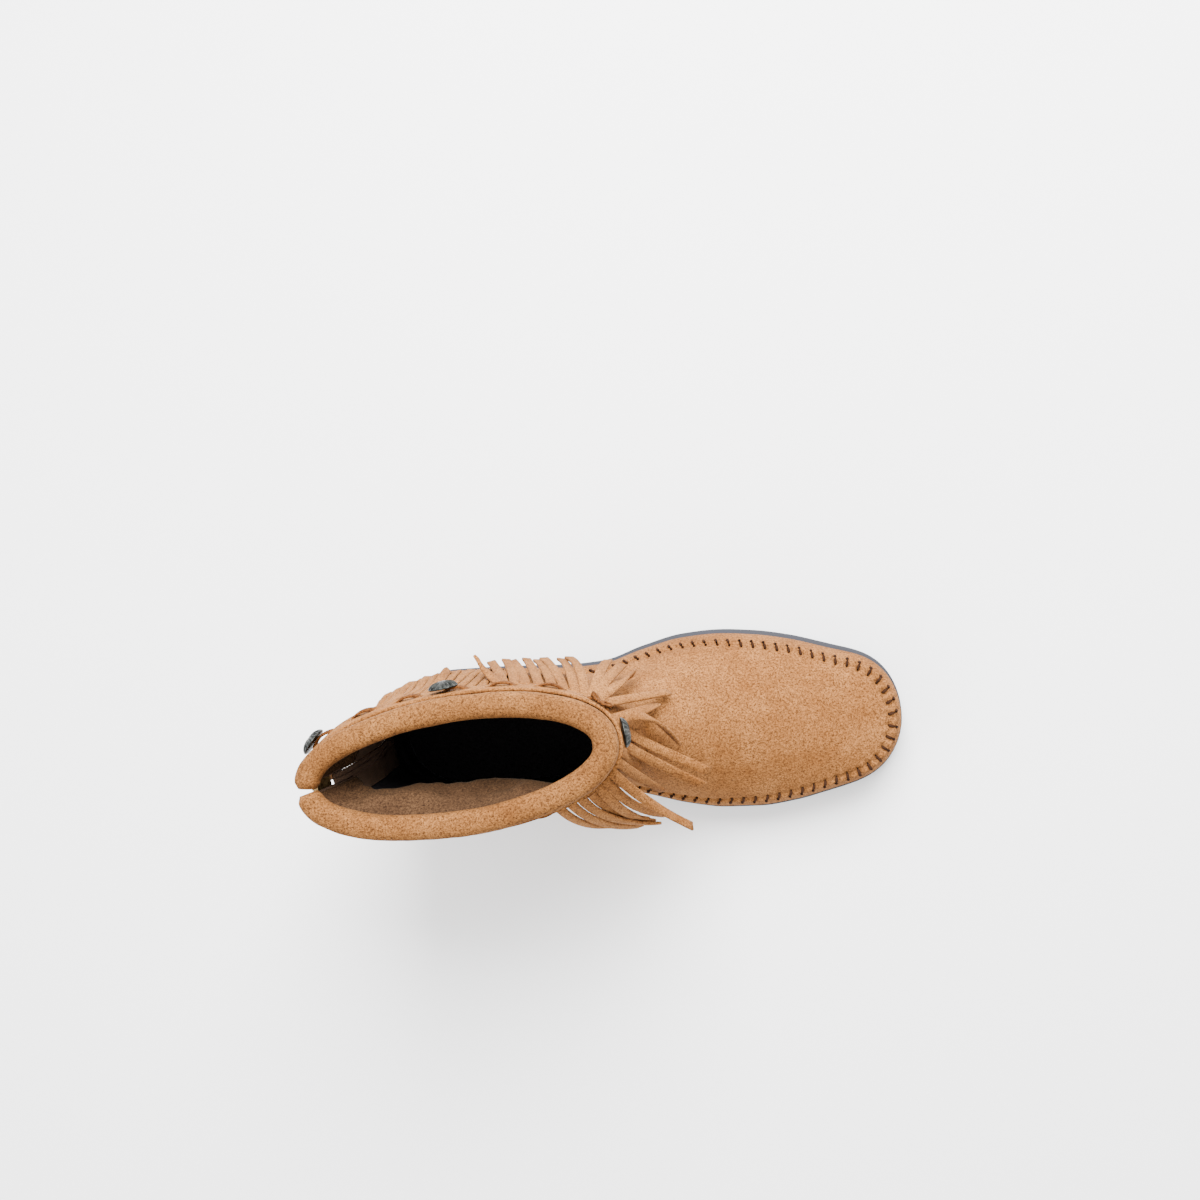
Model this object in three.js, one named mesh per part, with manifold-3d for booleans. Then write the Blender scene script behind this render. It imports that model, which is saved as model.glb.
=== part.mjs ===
// Moccasin ankle boot for the left foot: moulded rubber sole, insole, hollow suede upper, padded collar,
// fringe on a band round the shaft, a lace with three domed buttons, and a zip up the back.
// Millimetres. +X runs to the toe, +Y to the outer side of the foot, +Z up, and z is 0 on the floor.
import * as THREE from "three";
import { mergeVertices } from "three/addons/utils/BufferGeometryUtils.js";
import Module from "manifold-3d";

const wasm = await Module();
wasm.setup();

// Sole sizes
const SOLE_LENGTH = 260.5;
const BALL_WIDTH = 91;
const HEEL_WIDTH = 63;
const HEEL_THICK = 14;
const FOREFOOT_THICK = 5.5;
const TOE_SPRING = 7;
const ARCH_RISE = 7;
const ORIGIN_FROM_HEEL = 34.5;
const LIP_THICK = 2.4;
const LIP_STEP = 1.1;
const SOLE_BEVEL = 1;
const GROOVE_WIDTH = 2.6;
const GROOVE_DEPTH = 1.2;
const GROOVE_PITCH = 9;
const GROOVE_MARGIN = 7;
const INSOLE_THICK = 3;
const INSOLE_CLEAR = 0.9;

// Upper sizes
const WALL = 1.8;
const CLEAR = 0.3;
const SEAM_HEIGHT = 20;
const SEAM_RAISE = 1.3;
const INSTEP_HEIGHT = 83;
const SHAFT_FRONT = 138;
const SHAFT_BACK = 136;
const COLLAR_WIDTH = 59.5;
const COLLAR_OVERHANG = 9;
const BACK_HOLLOW = 5;
const TWIST_BACK = -14;
const TWIST_FRONT = 6;
const SHELF_TOE = 0.8;
const SHELF_OUTER = 2.2;
const SHELF_INNER = 1.4;
const SHELF_HEEL = 1.6;
const PLUG_TOE = 4;
const PLUG_OUTER = 6.2;
const PLUG_INNER = 6.5;
const PLUG_HEEL = 2;
const WALL_SWELL = 1.6;

// Collar roll sizes
const ROLL_WIDTH = 11.5;
const ROLL_HEIGHT = 11;
const ROLL_PROUD = 1;

// Fringe, lace and button sizes
const BAND_DEPTH = 15;
const BAND_THICK = 1.6;
const BAND_DROP = 0.8;
const BAND_CLEAR = 0.5;
const BAND_FLARE = 4.5;
const BAND_START = 0.035;
const STRIP_WIDTH = 4.4;
const STRIP_THICK = 1.4;
const STRIP_GAP = 1.1;
const STRIP_LENGTH = 74;
const STRIP_ROOT = 3;
const STRIP_LIFT = 1.1;
const FALL_STEP = 2;
const TIP_LIFT = 2.5;
const FLARE_FADE = 60;
const ZIP_MARGIN = 7;
const LACE_WIDTH = 3.4;
const LACE_THICK = 1.2;
const BUTTON_DIAMETER = 13.6;
const BUTTON_HEIGHT = 3.4;
const BUTTON_RIM = 1;
const BUTTON_FLUTES = 10;

// Zip sizes
const SLIT_WIDTH = 7;
const SLIT_POINT = 2;
const ZIP_BOTTOM = 46;
const ZIP_TOP = 121;
const TAPE_TOP = 133;
const TAPE_REACH = 0.85;
const TAPE_THICK = 0.9;
const TAPE_CLEAR = 0.5;
const CHAIN_WIDTH = 4.4;
const CHAIN_THICK = 1.8;
const CHAIN_SUNK = 2.3;
const TOOTH_PITCH = 4;
const TOOTH_STEP = 0.5;
const SLIDER_LENGTH = 9;
const SLIDER_WIDTH = 5.6;
const SLIDER_THICK = 3.4;
const EAR_WIDTH = 0.9;
const EAR_REACH = 3.6;
const EAR_LENGTH = 3.4;
const PIN_WIDTH = 1.4;
const EYE_CLEAR = 0.35;
const EYE_WALL = 0.9;
const PULL_LENGTH = 24;
const PULL_WIDTH = 6;
const PULL_THICK = 1.4;

// Places of the toe's and the heel's round centres, as shares of the sole's length
const TOE_CENTRE = 0.86;
const HEEL_CENTRE = 0.123;
const TOE_POWER_OUTER = 2.15;
const TOE_POWER_INNER = 1.9;
const TOE_TAPER = 0.3;
const TOE_SLOPE = 0.2;
const BLEND = 16;

// Half widths of the sole between the two round ends, as shares of half the named width
const half = { heel: HEEL_WIDTH / 2, ball: BALL_WIDTH / 2 };
const WIDTHS = [
  { at: 0.123, outer: 1.0, inner: 1.0, of: half.heel },
  { at: 0.235, outer: 1.02, inner: 0.96, of: half.heel },
  { at: 0.34, outer: 1.01, inner: 0.95, of: half.heel },
  { at: 0.42, outer: 0.73, inner: 0.71, of: half.ball },
  { at: 0.5, outer: 0.882, inner: 0.825, of: half.ball },
  { at: 0.58, outer: 1.0, inner: 0.94, of: half.ball },
  { at: 0.65, outer: 1.03, inner: 0.99, of: half.ball },
  { at: 0.72, outer: 1.005, inner: 0.985, of: half.ball },
  { at: 0.79, outer: 0.94, inner: 0.925, of: half.ball },
  { at: 0.86, outer: 0.835, inner: 0.815, of: half.ball },
].map((row) => ({
  at: row.at,
  outer: row.outer * row.of,
  inner: row.inner * row.of,
}));

// Side view of the sole along its length: shares of the heel's extra thickness, the arch and the toe spring
const PROFILE = [
  { at: 0.0, heel: 1.0, arch: 0.0, spring: 0.0 },
  { at: 0.262, heel: 1.0, arch: 0.0, spring: 0.0 },
  { at: 0.295, heel: 0.98, arch: 1.0, spring: 0.0 },
  { at: 0.36, heel: 0.82, arch: 0.95, spring: 0.0 },
  { at: 0.46, heel: 0.4, arch: 0.5, spring: 0.0 },
  { at: 0.56, heel: 0.08, arch: 0.0, spring: 0.0 },
  { at: 0.62, heel: 0.0, arch: 0.0, spring: 0.0 },
  { at: 0.77, heel: 0.0, arch: 0.0, spring: 0.0 },
  { at: 0.86, heel: 0.0, arch: 0.0, spring: 0.2 },
  { at: 0.94, heel: 0.0, arch: 0.0, spring: 0.58 },
  { at: 1.0, heel: 0.0, arch: 0.0, spring: 1.0 },
];

// Sections of the last from the toe's round centre (1) past the back of the heel (2) to the collar (3).
// foot: where the section meets the sole, 1 at the toe's centre, 0 at the heel's, -1 at the heel's back.
// rise, lean, hollow: the back line's height and set, shares of the shaft's height, overhang and hollow.
// front: where the section meets the top line, share of the sole's length.
// instep, shaft: height of the top line, shares of the instep's and the shaft's height.
// backTwist, frontTwist: how far both lines lean sideways. wide: half width, share of the collar's.
// heelFull, frontFull: roundness at both ends, less is fuller. crown: 1 is an ellipse, more is flatter.
const SECTIONS = [
  {
    at: 1.0, foot: 1.0, rise: 0, lean: 0, hollow: 0.1, front: 0.86, instep: 0.452, shaft: 0,
    backTwist: 0, frontTwist: 0, wide: 0, heelFull: 1, frontFull: 1, crown: 1.6,
  },
  {
    at: 1.2, foot: 0.864, rise: 0, lean: 0, hollow: 0.1, front: 0.77, instep: 0.52, shaft: 0,
    backTwist: 0, frontTwist: 0, wide: 0.1, heelFull: 1, frontFull: 1, crown: 1.6,
  },
  {
    at: 1.4, foot: 0.728, rise: 0, lean: 0, hollow: 0.1, front: 0.68, instep: 0.605, shaft: 0,
    backTwist: 0, frontTwist: 0.05, wide: 0.4, heelFull: 1, frontFull: 1, crown: 1.5,
  },
  {
    at: 1.55, foot: 0.605, rise: 0, lean: 0, hollow: 0.1, front: 0.618, instep: 0.725, shaft: 0,
    backTwist: 0, frontTwist: 0.15, wide: 0.65, heelFull: 1, frontFull: 1, crown: 1.35,
  },
  {
    at: 1.7, foot: 0.456, rise: 0, lean: 0, hollow: 0.1, front: 0.575, instep: 0.865, shaft: 0,
    backTwist: 0, frontTwist: 0.3, wide: 0.82, heelFull: 0.95, frontFull: 1, crown: 1.2,
  },
  {
    at: 1.8, foot: 0.293, rise: 0, lean: 0, hollow: 0.1, front: 0.55, instep: 1.0, shaft: 0,
    backTwist: 0, frontTwist: 0.42, wide: 0.88, heelFull: 0.88, frontFull: 0.98, crown: 1.1,
  },
  {
    at: 1.88, foot: 0.1, rise: 0, lean: 0, hollow: 0.1, front: 0.537, instep: 0.86, shaft: 0.14,
    backTwist: 0, frontTwist: 0.48, wide: 0.93, heelFull: 0.74, frontFull: 0.96, crown: 1.03,
  },
  {
    at: 1.92, foot: 0.0, rise: 0, lean: 0, hollow: 0.1, front: 0.532, instep: 0.79, shaft: 0.21,
    backTwist: 0, frontTwist: 0.52, wide: 0.96, heelFull: 0.64, frontFull: 0.95, crown: 1.0,
  },
  {
    at: 1.955, foot: -0.45, rise: 0, lean: 0, hollow: 0.1, front: 0.529, instep: 0.725, shaft: 0.275,
    backTwist: 0, frontTwist: 0.545, wide: 0.99, heelFull: 0.56, frontFull: 0.945, crown: 1.0,
  },
  {
    at: 2.0, foot: -1.0, rise: 0, lean: 0, hollow: 0.1, front: 0.525, instep: 0.645, shaft: 0.355,
    backTwist: 0, frontTwist: 0.58, wide: 1.01, heelFull: 0.49, frontFull: 0.94, crown: 1.0,
  },
  {
    at: 2.25, foot: -1.0, rise: 0.22, lean: 0, hollow: 0.35, front: 0.516, instep: 0.48, shaft: 0.52,
    backTwist: 0.07, frontTwist: 0.7, wide: 0.995, heelFull: 0.54, frontFull: 0.93, crown: 1.0,
  },
  {
    at: 2.5, foot: -1.0, rise: 0.47, lean: 0, hollow: 1.0, front: 0.513, instep: 0.335, shaft: 0.665,
    backTwist: 0.28, frontTwist: 0.83, wide: 0.98, heelFull: 0.65, frontFull: 0.92, crown: 1.0,
  },
  {
    at: 2.75, foot: -1.0, rise: 0.74, lean: 0.3, hollow: 0.8, front: 0.517, instep: 0.17, shaft: 0.83,
    backTwist: 0.64, frontTwist: 0.92, wide: 0.98, heelFull: 0.75, frontFull: 0.9, crown: 1.0,
  },
  {
    at: 3.0, foot: -1.0, rise: 1.0, lean: 1.0, hollow: 0, front: 0.53, instep: 0, shaft: 1.0,
    backTwist: 1.0, frontTwist: 1.0, wide: 1.0, heelFull: 0.84, frontFull: 0.9, crown: 1.0,
  },
];

// Places of the lace's buttons: side of the foot and share of the way from the zip to the front
const BUTTONS = [
  { name: "button_front", side: 1, along: 0.99 },
  { name: "button_outer_mid", side: 1, along: 0.468 },
  { name: "button_outer_back", side: 1, along: 0.12 },
];

// Plain arithmetic
function mix(a, b, t) {
  return a + (b - a) * t;
}

function ease(t) {
  const c = Math.min(1, Math.max(0, t));
  return c * c * (3 - 2 * c);
}

// Reads a table's column between its rows on a smooth curve that never overshoots them.
function read(rows, column, at) {
  const last = rows.length - 1;
  if (at <= rows[0].at) return rows[0][column];
  if (at >= rows[last].at) return rows[last][column];
  let i = 0;
  while (rows[i + 1].at < at) i += 1;
  const slope = (k) => (rows[k + 1][column] - rows[k][column]) / (rows[k + 1].at - rows[k].at);
  const tangent = (k) => {
    if (k === 0) return slope(0);
    if (k === last) return slope(last - 1);
    const before = slope(k - 1);
    const after = slope(k);
    if (before * after <= 0) return 0;
    return (2 * before * after) / (before + after);
  };
  const span = rows[i + 1].at - rows[i].at;
  const t = (at - rows[i].at) / span;
  const t2 = t * t;
  const t3 = t2 * t;
  return (
    rows[i][column] * (2 * t3 - 3 * t2 + 1) +
    tangent(i) * span * (t3 - 2 * t2 + t) +
    rows[i + 1][column] * (3 * t2 - 2 * t3) +
    tangent(i + 1) * span * (t3 - t2)
  );
}

// Sole heights at a place along the length
function shareOf(x) {
  return (x + ORIGIN_FROM_HEEL) / SOLE_LENGTH;
}

function xOf(share) {
  return share * SOLE_LENGTH - ORIGIN_FROM_HEEL;
}

function soleTop(x) {
  const s = shareOf(x);
  const heel = (HEEL_THICK - FOREFOOT_THICK) * read(PROFILE, "heel", s);
  return FOREFOOT_THICK + heel + TOE_SPRING * read(PROFILE, "spring", s);
}

function soleBottom(x) {
  const s = shareOf(x);
  return ARCH_RISE * read(PROFILE, "arch", s) + TOE_SPRING * read(PROFILE, "spring", s);
}

// A value that differs at the toe, both sides and the heel, at place u (0 toe, 1 its centre, 2 heel's back)
function around(side, u, toe, outer, inner, heel) {
  const flank = side > 0 ? outer : inner;
  if (u < 1) return mix(toe, flank, ease(u));
  return mix(flank, heel, ease((u - 1.6) / 0.4));
}

// Plan of the sole's outline moved in by some millimetres, at place u between 0 and 2.
function plan(side, u, inset) {
  const column = side > 0 ? "outer" : "inner";
  const toeX = xOf(TOE_CENTRE);
  if (u <= 1) {
    const power = side > 0 ? TOE_POWER_OUTER : TOE_POWER_INNER;
    const angle = (Math.PI / 2) * u;
    const c = Math.pow(Math.max(0, Math.cos(angle)), 2 / power);
    const s = Math.pow(Math.max(0, Math.sin(angle)), 2 / power);
    const reach = xOf(1) - toeX - inset;
    const across = read(WIDTHS, column, TOE_CENTRE) - inset;
    const taper = TOE_TAPER * reach * c * (1 - c) * (1 - c);
    return { x: toeX + reach * c, y: side * (across - taper) * s };
  }
  const foot = read(SECTIONS, "foot", u);
  if (foot >= 0) {
    const share = mix(HEEL_CENTRE, TOE_CENTRE, foot);
    return { x: xOf(share), y: side * (read(WIDTHS, column, share) - inset) };
  }
  const angle = (Math.PI / 2) * (1 + foot);
  const reach = HEEL_CENTRE * SOLE_LENGTH - inset;
  const across = read(WIDTHS, column, HEEL_CENTRE) - inset;
  return {
    x: xOf(HEEL_CENTRE) - reach * Math.cos(angle),
    y: side * across * Math.sin(angle),
  };
}

function shelf(side, u) {
  return around(side, u, SHELF_TOE, SHELF_OUTER, SHELF_INNER, SHELF_HEEL);
}

function plugInset(side, u) {
  return around(side, u, PLUG_TOE, PLUG_OUTER, PLUG_INNER, PLUG_HEEL);
}

// Height of the moccasin seam at a place of the outline: lower over the toe
function seamZ(x, u) {
  return soleTop(x) + SEAM_HEIGHT * mix(0.76, 1, ease(u / 1.2)) * mix(1, 0.9, ease((u - 1.7) / 0.3));
}

function slitHalf(u) {
  if (u <= 2) return 0;
  return (SLIT_WIDTH / 2) * Math.min(1, Math.max(0, (backZ(u) - ZIP_BOTTOM) / SLIT_POINT));
}

function backZ(u) {
  const low = seamZ(xOf(0), 2);
  return mix(low, SHAFT_BACK, read(SECTIONS, "rise", u));
}

// One section of the last on one side: start point, direction to the top line, side direction and widths
function section(side, u) {
  const row = (column) => read(SECTIONS, column, u);
  const at = Math.min(u, 2);
  const seam = plan(side, at, plugInset(side, at));
  if (u < 1) {
    const base = new THREE.Vector3(xOf(TOE_CENTRE), 0, seamZ(seam.x, u));
    const top = new THREE.Vector3(base.x, 0, INSTEP_HEIGHT * row("instep"));
    const out = new THREE.Vector3(seam.x - base.x, seam.y, 0);
    const start = out.length();
    return { base, top, out: out.normalize(), start, wide: start, back: 1, front: 1, crown: row("crown") };
  }
  const lift = u > 2 ? backZ(u) : seamZ(seam.x, u);
  const set = u > 2 ? BACK_HOLLOW * (row("hollow") - 0.1) - COLLAR_OVERHANG * row("lean") : 0;
  const base = new THREE.Vector3(seam.x + set, TWIST_BACK * row("backTwist"), lift);
  const topZ = INSTEP_HEIGHT * row("instep") + SHAFT_FRONT * row("shaft");
  const top = new THREE.Vector3(xOf(row("front")), TWIST_FRONT * row("frontTwist"), topZ);
  const along = top.clone().sub(base).normalize();
  const out = new THREE.Vector3(0, 1, 0).addScaledVector(along, -along.y).normalize();
  const start = u > 2 ? slitHalf(u) : Math.abs(seam.y);
  const broad = (COLLAR_WIDTH / 2) * row("wide");
  const wide = Math.pow(Math.pow(start, BLEND) + Math.pow(broad, BLEND), 1 / BLEND);
  out.multiplyScalar(side);
  return {
    base, top, out, start, wide, back: row("heelFull"), front: row("frontFull"), crown: row("crown"),
  };
}

// Point of the last's outer surface: side +1 outer or -1 inner, u toe to collar, v seam to top line
function skin(side, u, v) {
  const s = section(side, u);
  const first = Math.asin(Math.min(1, Math.pow(s.start / s.wide, 1 / s.back)));
  const angle = mix(first, Math.PI, v);
  const rise = (Math.cos(first) - Math.cos(angle)) / (1 + Math.cos(first));
  const power = mix(s.back, s.front, v * v);
  const across = v >= 1 ? 0 : s.wide * Math.pow(Math.max(0, Math.sin(angle)), power);
  const lift = Math.pow(Math.max(0, rise), s.crown);
  const point = s.base.clone().lerp(s.top, lift).addScaledVector(s.out, across);
  if (u < 1) point.z -= TOE_SLOPE * s.out.x * (across - s.wide * (1 - lift));
  return point;
}

// Outward direction of that surface
function skinNormal(side, u, v) {
  const du = 0.01;
  const dv = 0.01;
  const v0 = Math.max(0.001, v - dv);
  const v1 = Math.min(0.9999, v + dv);
  const a = skin(side, Math.min(3, u + du), v).sub(skin(side, u - du, v));
  const b = skin(side, u, v1).sub(skin(side, u, v0));
  return a.cross(b).multiplyScalar(side).normalize();
}

// Side wall below the seam: w is 0 on the sole and 1 at the seam
function flank(side, u, w) {
  const foot = plan(side, u, shelf(side, u));
  const low = new THREE.Vector3(foot.x, foot.y, soleTop(foot.x) + CLEAR);
  const high = skin(side, u, 0);
  const swell = plan(side, u, shelf(side, u) - WALL_SWELL);
  const bulge = Math.sin(Math.PI * Math.min(1, w * 1.1)) * (w < 0.95 ? 1 : 0);
  const point = low.clone().lerp(high, w);
  point.x += (swell.x - foot.x) * bulge;
  point.y += (swell.y - foot.y) * bulge;
  return point;
}

// Mesh building
function meshOf(name, points, triangles, look) {
  const flat = new Float32Array(points.length * 3);
  points.forEach((p, i) => flat.set([p.x, p.y, p.z], i * 3));
  let volume = 0;
  for (const [a, b, c] of triangles) {
    volume += points[a].dot(new THREE.Vector3().crossVectors(points[b], points[c])) / 6;
  }
  const order = volume < 0 ? triangles.map(([a, b, c]) => [a, c, b]) : triangles;
  const geometry = new THREE.BufferGeometry();
  geometry.setAttribute("position", new THREE.BufferAttribute(flat, 3));
  geometry.setIndex(order.flat());
  const mesh = new THREE.Mesh(geometry, look);
  mesh.name = name;
  return mesh;
}

// A solid between two offsets of a surface that is given as patches of grid points.
// Each grid point is { p, raise, level }: raise lifts the outer face, level keeps its offset horizontal.
function shell(name, patches, outer, inner, look) {
  const keys = new Map();
  const verts = [];
  const faces = [];
  const indexOf = (g) => {
    const key = [g.p.x, g.p.y, g.p.z].map((n) => Math.round(n * 500)).join(",");
    if (!keys.has(key)) {
      keys.set(key, verts.length);
      verts.push({ p: g.p, raise: g.raise || 0, level: g.level, n: new THREE.Vector3() });
    }
    return keys.get(key);
  };
  const addFace = (a, b, c) => {
    if (a === b || b === c || a === c) return;
    faces.push([a, b, c]);
    const ab = verts[b].p.clone().sub(verts[a].p);
    const ac = verts[c].p.clone().sub(verts[a].p);
    const n = ab.cross(ac);
    for (const i of [a, b, c]) verts[i].n.add(n);
  };
  for (const { grid, flip } of patches) {
    const ids = grid.map((row) => row.map(indexOf));
    for (let i = 0; i + 1 < ids.length; i += 1) {
      for (let j = 0; j + 1 < ids[i].length; j += 1) {
        const [a, b, c, d] = [ids[i][j], ids[i + 1][j], ids[i + 1][j + 1], ids[i][j + 1]];
        if (flip) {
          addFace(a, c, b);
          addFace(a, d, c);
        } else {
          addFace(a, b, c);
          addFace(a, c, d);
        }
      }
    }
  }
  for (const v of verts) {
    if (v.level) v.n.z = 0;
    v.n.normalize();
  }
  const count = verts.length;
  const points = verts
    .map((v) => v.p.clone().addScaledVector(v.n, outer + v.raise))
    .concat(verts.map((v) => v.p.clone().addScaledVector(v.n, inner)));
  const triangles = faces.concat(faces.map(([a, b, c]) => [a + count, c + count, b + count]));
  const edges = new Map();
  for (const [a, b, c] of faces) {
    for (const [p, q] of [[a, b], [b, c], [c, a]]) {
      if (edges.has(q + ":" + p)) edges.delete(q + ":" + p);
      else edges.set(p + ":" + q, [p, q]);
    }
  }
  for (const [p, q] of edges.values()) {
    triangles.push([q, p, p + count], [q, p + count, q + count]);
  }
  return meshOf(name, points, triangles, look);
}

// A solid through rings of points, closed at both ends, or joined to itself
function loft(name, rings, look, joined = false) {
  const n = rings[0].length;
  const points = rings.flat();
  const triangles = [];
  const last = joined ? rings.length : rings.length - 1;
  for (let i = 0; i < last; i += 1) {
    const a = i * n;
    const b = ((i + 1) % rings.length) * n;
    for (let j = 0; j < n; j += 1) {
      const k = (j + 1) % n;
      triangles.push([a + j, b + j, b + k], [a + j, b + k, a + k]);
    }
  }
  if (!joined) {
    for (const [ring, turn] of [[0, true], [rings.length - 1, false]]) {
      const middle = new THREE.Vector3();
      if (n === 4) {
        const [a, b, c, d] = [0, 1, 2, 3].map((j) => ring * n + j);
        triangles.push(...(turn ? [[a, b, c], [a, c, d]] : [[a, c, b], [a, d, c]]));
        continue;
      }
      rings[ring].forEach((p) => middle.addScaledVector(p, 1 / n));
      const centre = points.length;
      points.push(middle);
      for (let j = 0; j < n; j += 1) {
        const a = ring * n + j;
        const b = ring * n + ((j + 1) % n);
        triangles.push(turn ? [a, b, centre] : [b, a, centre]);
      }
    }
  }
  return meshOf(name, points, triangles, look);
}

// Joins and cuts
function manifoldOf(mesh) {
  mesh.updateMatrixWorld(true);
  const copy = mesh.geometry.clone().applyMatrix4(mesh.matrixWorld);
  copy.deleteAttribute("normal");
  copy.deleteAttribute("uv");
  const g = mergeVertices(copy, 1e-4);
  return new wasm.Manifold(
    new wasm.Mesh({
      numProp: 3,
      vertProperties: g.attributes.position.array,
      triVerts: new Uint32Array(g.index.array),
    }),
  );
}

function meshFrom(name, made, look) {
  const m = made.getMesh();
  const geometry = new THREE.BufferGeometry();
  geometry.setAttribute("position", new THREE.BufferAttribute(new Float32Array(m.vertProperties), 3));
  geometry.setIndex(Array.from(m.triVerts));
  const mesh = new THREE.Mesh(geometry, look);
  mesh.name = name;
  return mesh;
}

// Places where the sections are cut
function steps(from, to, count) {
  return Array.from({ length: count + 1 }, (_, i) => mix(from, to, i / count));
}

const TOE_STEPS = steps(0, 1, 6);
const BALL_STEPS = steps(1, 1.55, 6).slice(1);
const WAIST_STEPS = steps(1.55, 1.92, 7).slice(1);
const FOOT_STEPS = BALL_STEPS.concat(WAIST_STEPS, steps(1.92, 2, 5).slice(1));
const SLIT_STEPS = [uAtBack(ZIP_BOTTOM), uAtBack(ZIP_BOTTOM + SLIT_POINT)];
const BACK_STEPS = SLIT_STEPS.concat(steps(SLIT_STEPS[1], 3, 5).slice(1));
const LOW_STEPS = TOE_STEPS.concat(FOOT_STEPS);
const ALL_STEPS = LOW_STEPS.concat(BACK_STEPS);
const ROUND_STEPS = [0, 0.025].concat(steps(0, 1, 10).slice(1));

// The upper
function makeUpper(look) {
  const patches = [];
  const raised = (u) => SEAM_RAISE * ease((1.9 - u) / 0.15);
  for (const side of [1, -1]) {
    const low = LOW_STEPS.map((u) =>
      [0, 0.3, 0.62, 0.9, 1].map((w) => ({
        p: w === 1 ? skin(side, u, 0) : flank(side, u, w),
        raise: w === 1 ? raised(u) : 0,
        level: w === 0,
      })),
    );
    patches.push({ grid: low, flip: side < 0 });
    const high = ALL_STEPS.map((u) =>
      ROUND_STEPS.map((v) => ({
        p: skin(side, u, v),
        raise: v === 0 && u <= 2 ? raised(u) : 0,
        level: u === 3,
      })),
    );
    patches.push({ grid: high, flip: side < 0 });
  }
  return shell("upper", patches, 0, -WALL, look);
}

// The sole: rings down its side between a top and a bottom face, then grooves across the tread
function makeOutsole(look) {
  const places = LOW_STEPS;
  const levels = [
    { inset: 0, z: (x) => soleTop(x) },
    { inset: 0, z: (x) => soleTop(x) - LIP_THICK },
    { inset: LIP_STEP, z: (x) => soleTop(x) - LIP_THICK - LIP_STEP / 2 },
    { inset: LIP_STEP, z: (x) => soleBottom(x) + SOLE_BEVEL },
    { inset: LIP_STEP + SOLE_BEVEL, z: (x) => soleBottom(x) },
  ];
  const points = [];
  const triangles = [];
  const ids = levels.map(({ inset, z }) =>
    [1, -1].map((side) =>
      places.map((u) => {
        const p = plan(side, u, inset);
        points.push(new THREE.Vector3(p.x, p.y, z(p.x)));
        return points.length - 1;
      }),
    ),
  );
  const quad = (a, b, c, d) => triangles.push([a, b, c], [a, c, d]);
  for (let i = 0; i + 1 < places.length; i += 1) {
    for (let k = 0; k + 1 < levels.length; k += 1) {
      quad(ids[k][0][i], ids[k][0][i + 1], ids[k + 1][0][i + 1], ids[k + 1][0][i]);
      quad(ids[k][1][i + 1], ids[k][1][i], ids[k + 1][1][i], ids[k + 1][1][i + 1]);
    }
    const top = ids[0];
    const under = ids[levels.length - 1];
    quad(top[0][i + 1], top[0][i], top[1][i], top[1][i + 1]);
    quad(under[0][i], under[0][i + 1], under[1][i + 1], under[1][i]);
  }
  let body = manifoldOf(meshOf("blank", points, triangles, look));
  const groove = (x) => {
    const share = shareOf(x);
    const outer = read(WIDTHS, "outer", share) - GROOVE_MARGIN;
    const inner = read(WIDTHS, "inner", share) - GROOVE_MARGIN;
    const box = new THREE.Mesh(new THREE.BoxGeometry(GROOVE_WIDTH, outer + inner, 2 * GROOVE_DEPTH));
    box.position.set(x, (outer - inner) / 2, 0);
    body = body.subtract(manifoldOf(box));
  };
  for (let k = 0; k * GROOVE_PITCH < 0.15 * SOLE_LENGTH; k += 1) groove(xOf(0.6) + k * GROOVE_PITCH);
  for (const k of [-1.5, -0.5, 0.5, 1.5]) groove(k * GROOVE_PITCH);
  return meshFrom("outsole", body, look);
}

// The insole: a thin board on the sole, inside the upper's wall
function makeInsole(look) {
  const places = LOW_STEPS;
  const inset = (side, u) => shelf(side, u) + WALL + INSOLE_CLEAR;
  const ring = (lift) =>
    places
      .map((u) => ({ side: 1, u }))
      .concat(places.slice(1, -1).reverse().map((u) => ({ side: -1, u })))
      .map(({ side, u }) => {
        const p = plan(side, u, inset(side, u));
        return new THREE.Vector3(p.x, p.y, soleTop(p.x) + lift);
      });
  const low = ring(CLEAR);
  const high = ring(CLEAR + INSOLE_THICK);
  const n = low.length;
  const points = low.concat(high);
  const triangles = [];
  for (let j = 0; j < n; j += 1) {
    const k = (j + 1) % n;
    triangles.push([j, k, n + k], [j, n + k, n + j]);
  }
  for (let i = 0; i + 1 < places.length; i += 1) {
    const a = i;
    const b = i + 1;
    const c = (n - i - 1) % n;
    const d = (n - i) % n;
    triangles.push([a, c, b], [a, d, c]);
    triangles.push([n + a, n + b, n + c], [n + a, n + c, n + d]);
  }
  return meshOf("insole", points, triangles.filter(([a, b, c]) => a !== b && b !== c && a !== c), look);
}

// Points round the shaft from the zip on the outer side, over the front, to the zip on the inner side
function ringStops(list) {
  const outer = list.map((v) => ({ side: 1, v }));
  const inner = list.slice(0, -1).reverse().map((v) => ({ side: -1, v }));
  return outer.concat(inner);
}

// The padded roll on the shaft's top edge
function makeCollar(look) {
  const count = 10;
  const rings = ringStops(steps(0, 1, 17)).map(({ side, v }) => {
    const rim = skin(side, 3, v);
    const out = skinNormal(side, 3, Math.min(0.9999, v));
    out.z = 0;
    out.normalize();
    const centre = rim.clone().addScaledVector(out, ROLL_PROUD - ROLL_WIDTH / 2);
    centre.z += CLEAR + ROLL_HEIGHT / 2;
    return Array.from({ length: count }, (_, i) => {
      const a = (2 * Math.PI * i) / count;
      const c = Math.sign(Math.cos(a)) * Math.pow(Math.abs(Math.cos(a)), 0.75);
      const s = Math.sign(Math.sin(a)) * Math.pow(Math.abs(Math.sin(a)), 0.75);
      const p = centre.clone().addScaledVector(out, (ROLL_WIDTH / 2) * c);
      p.z += (ROLL_HEIGHT / 2) * s;
      return p;
    });
  });
  return loft("collar", rings, look);
}

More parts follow.
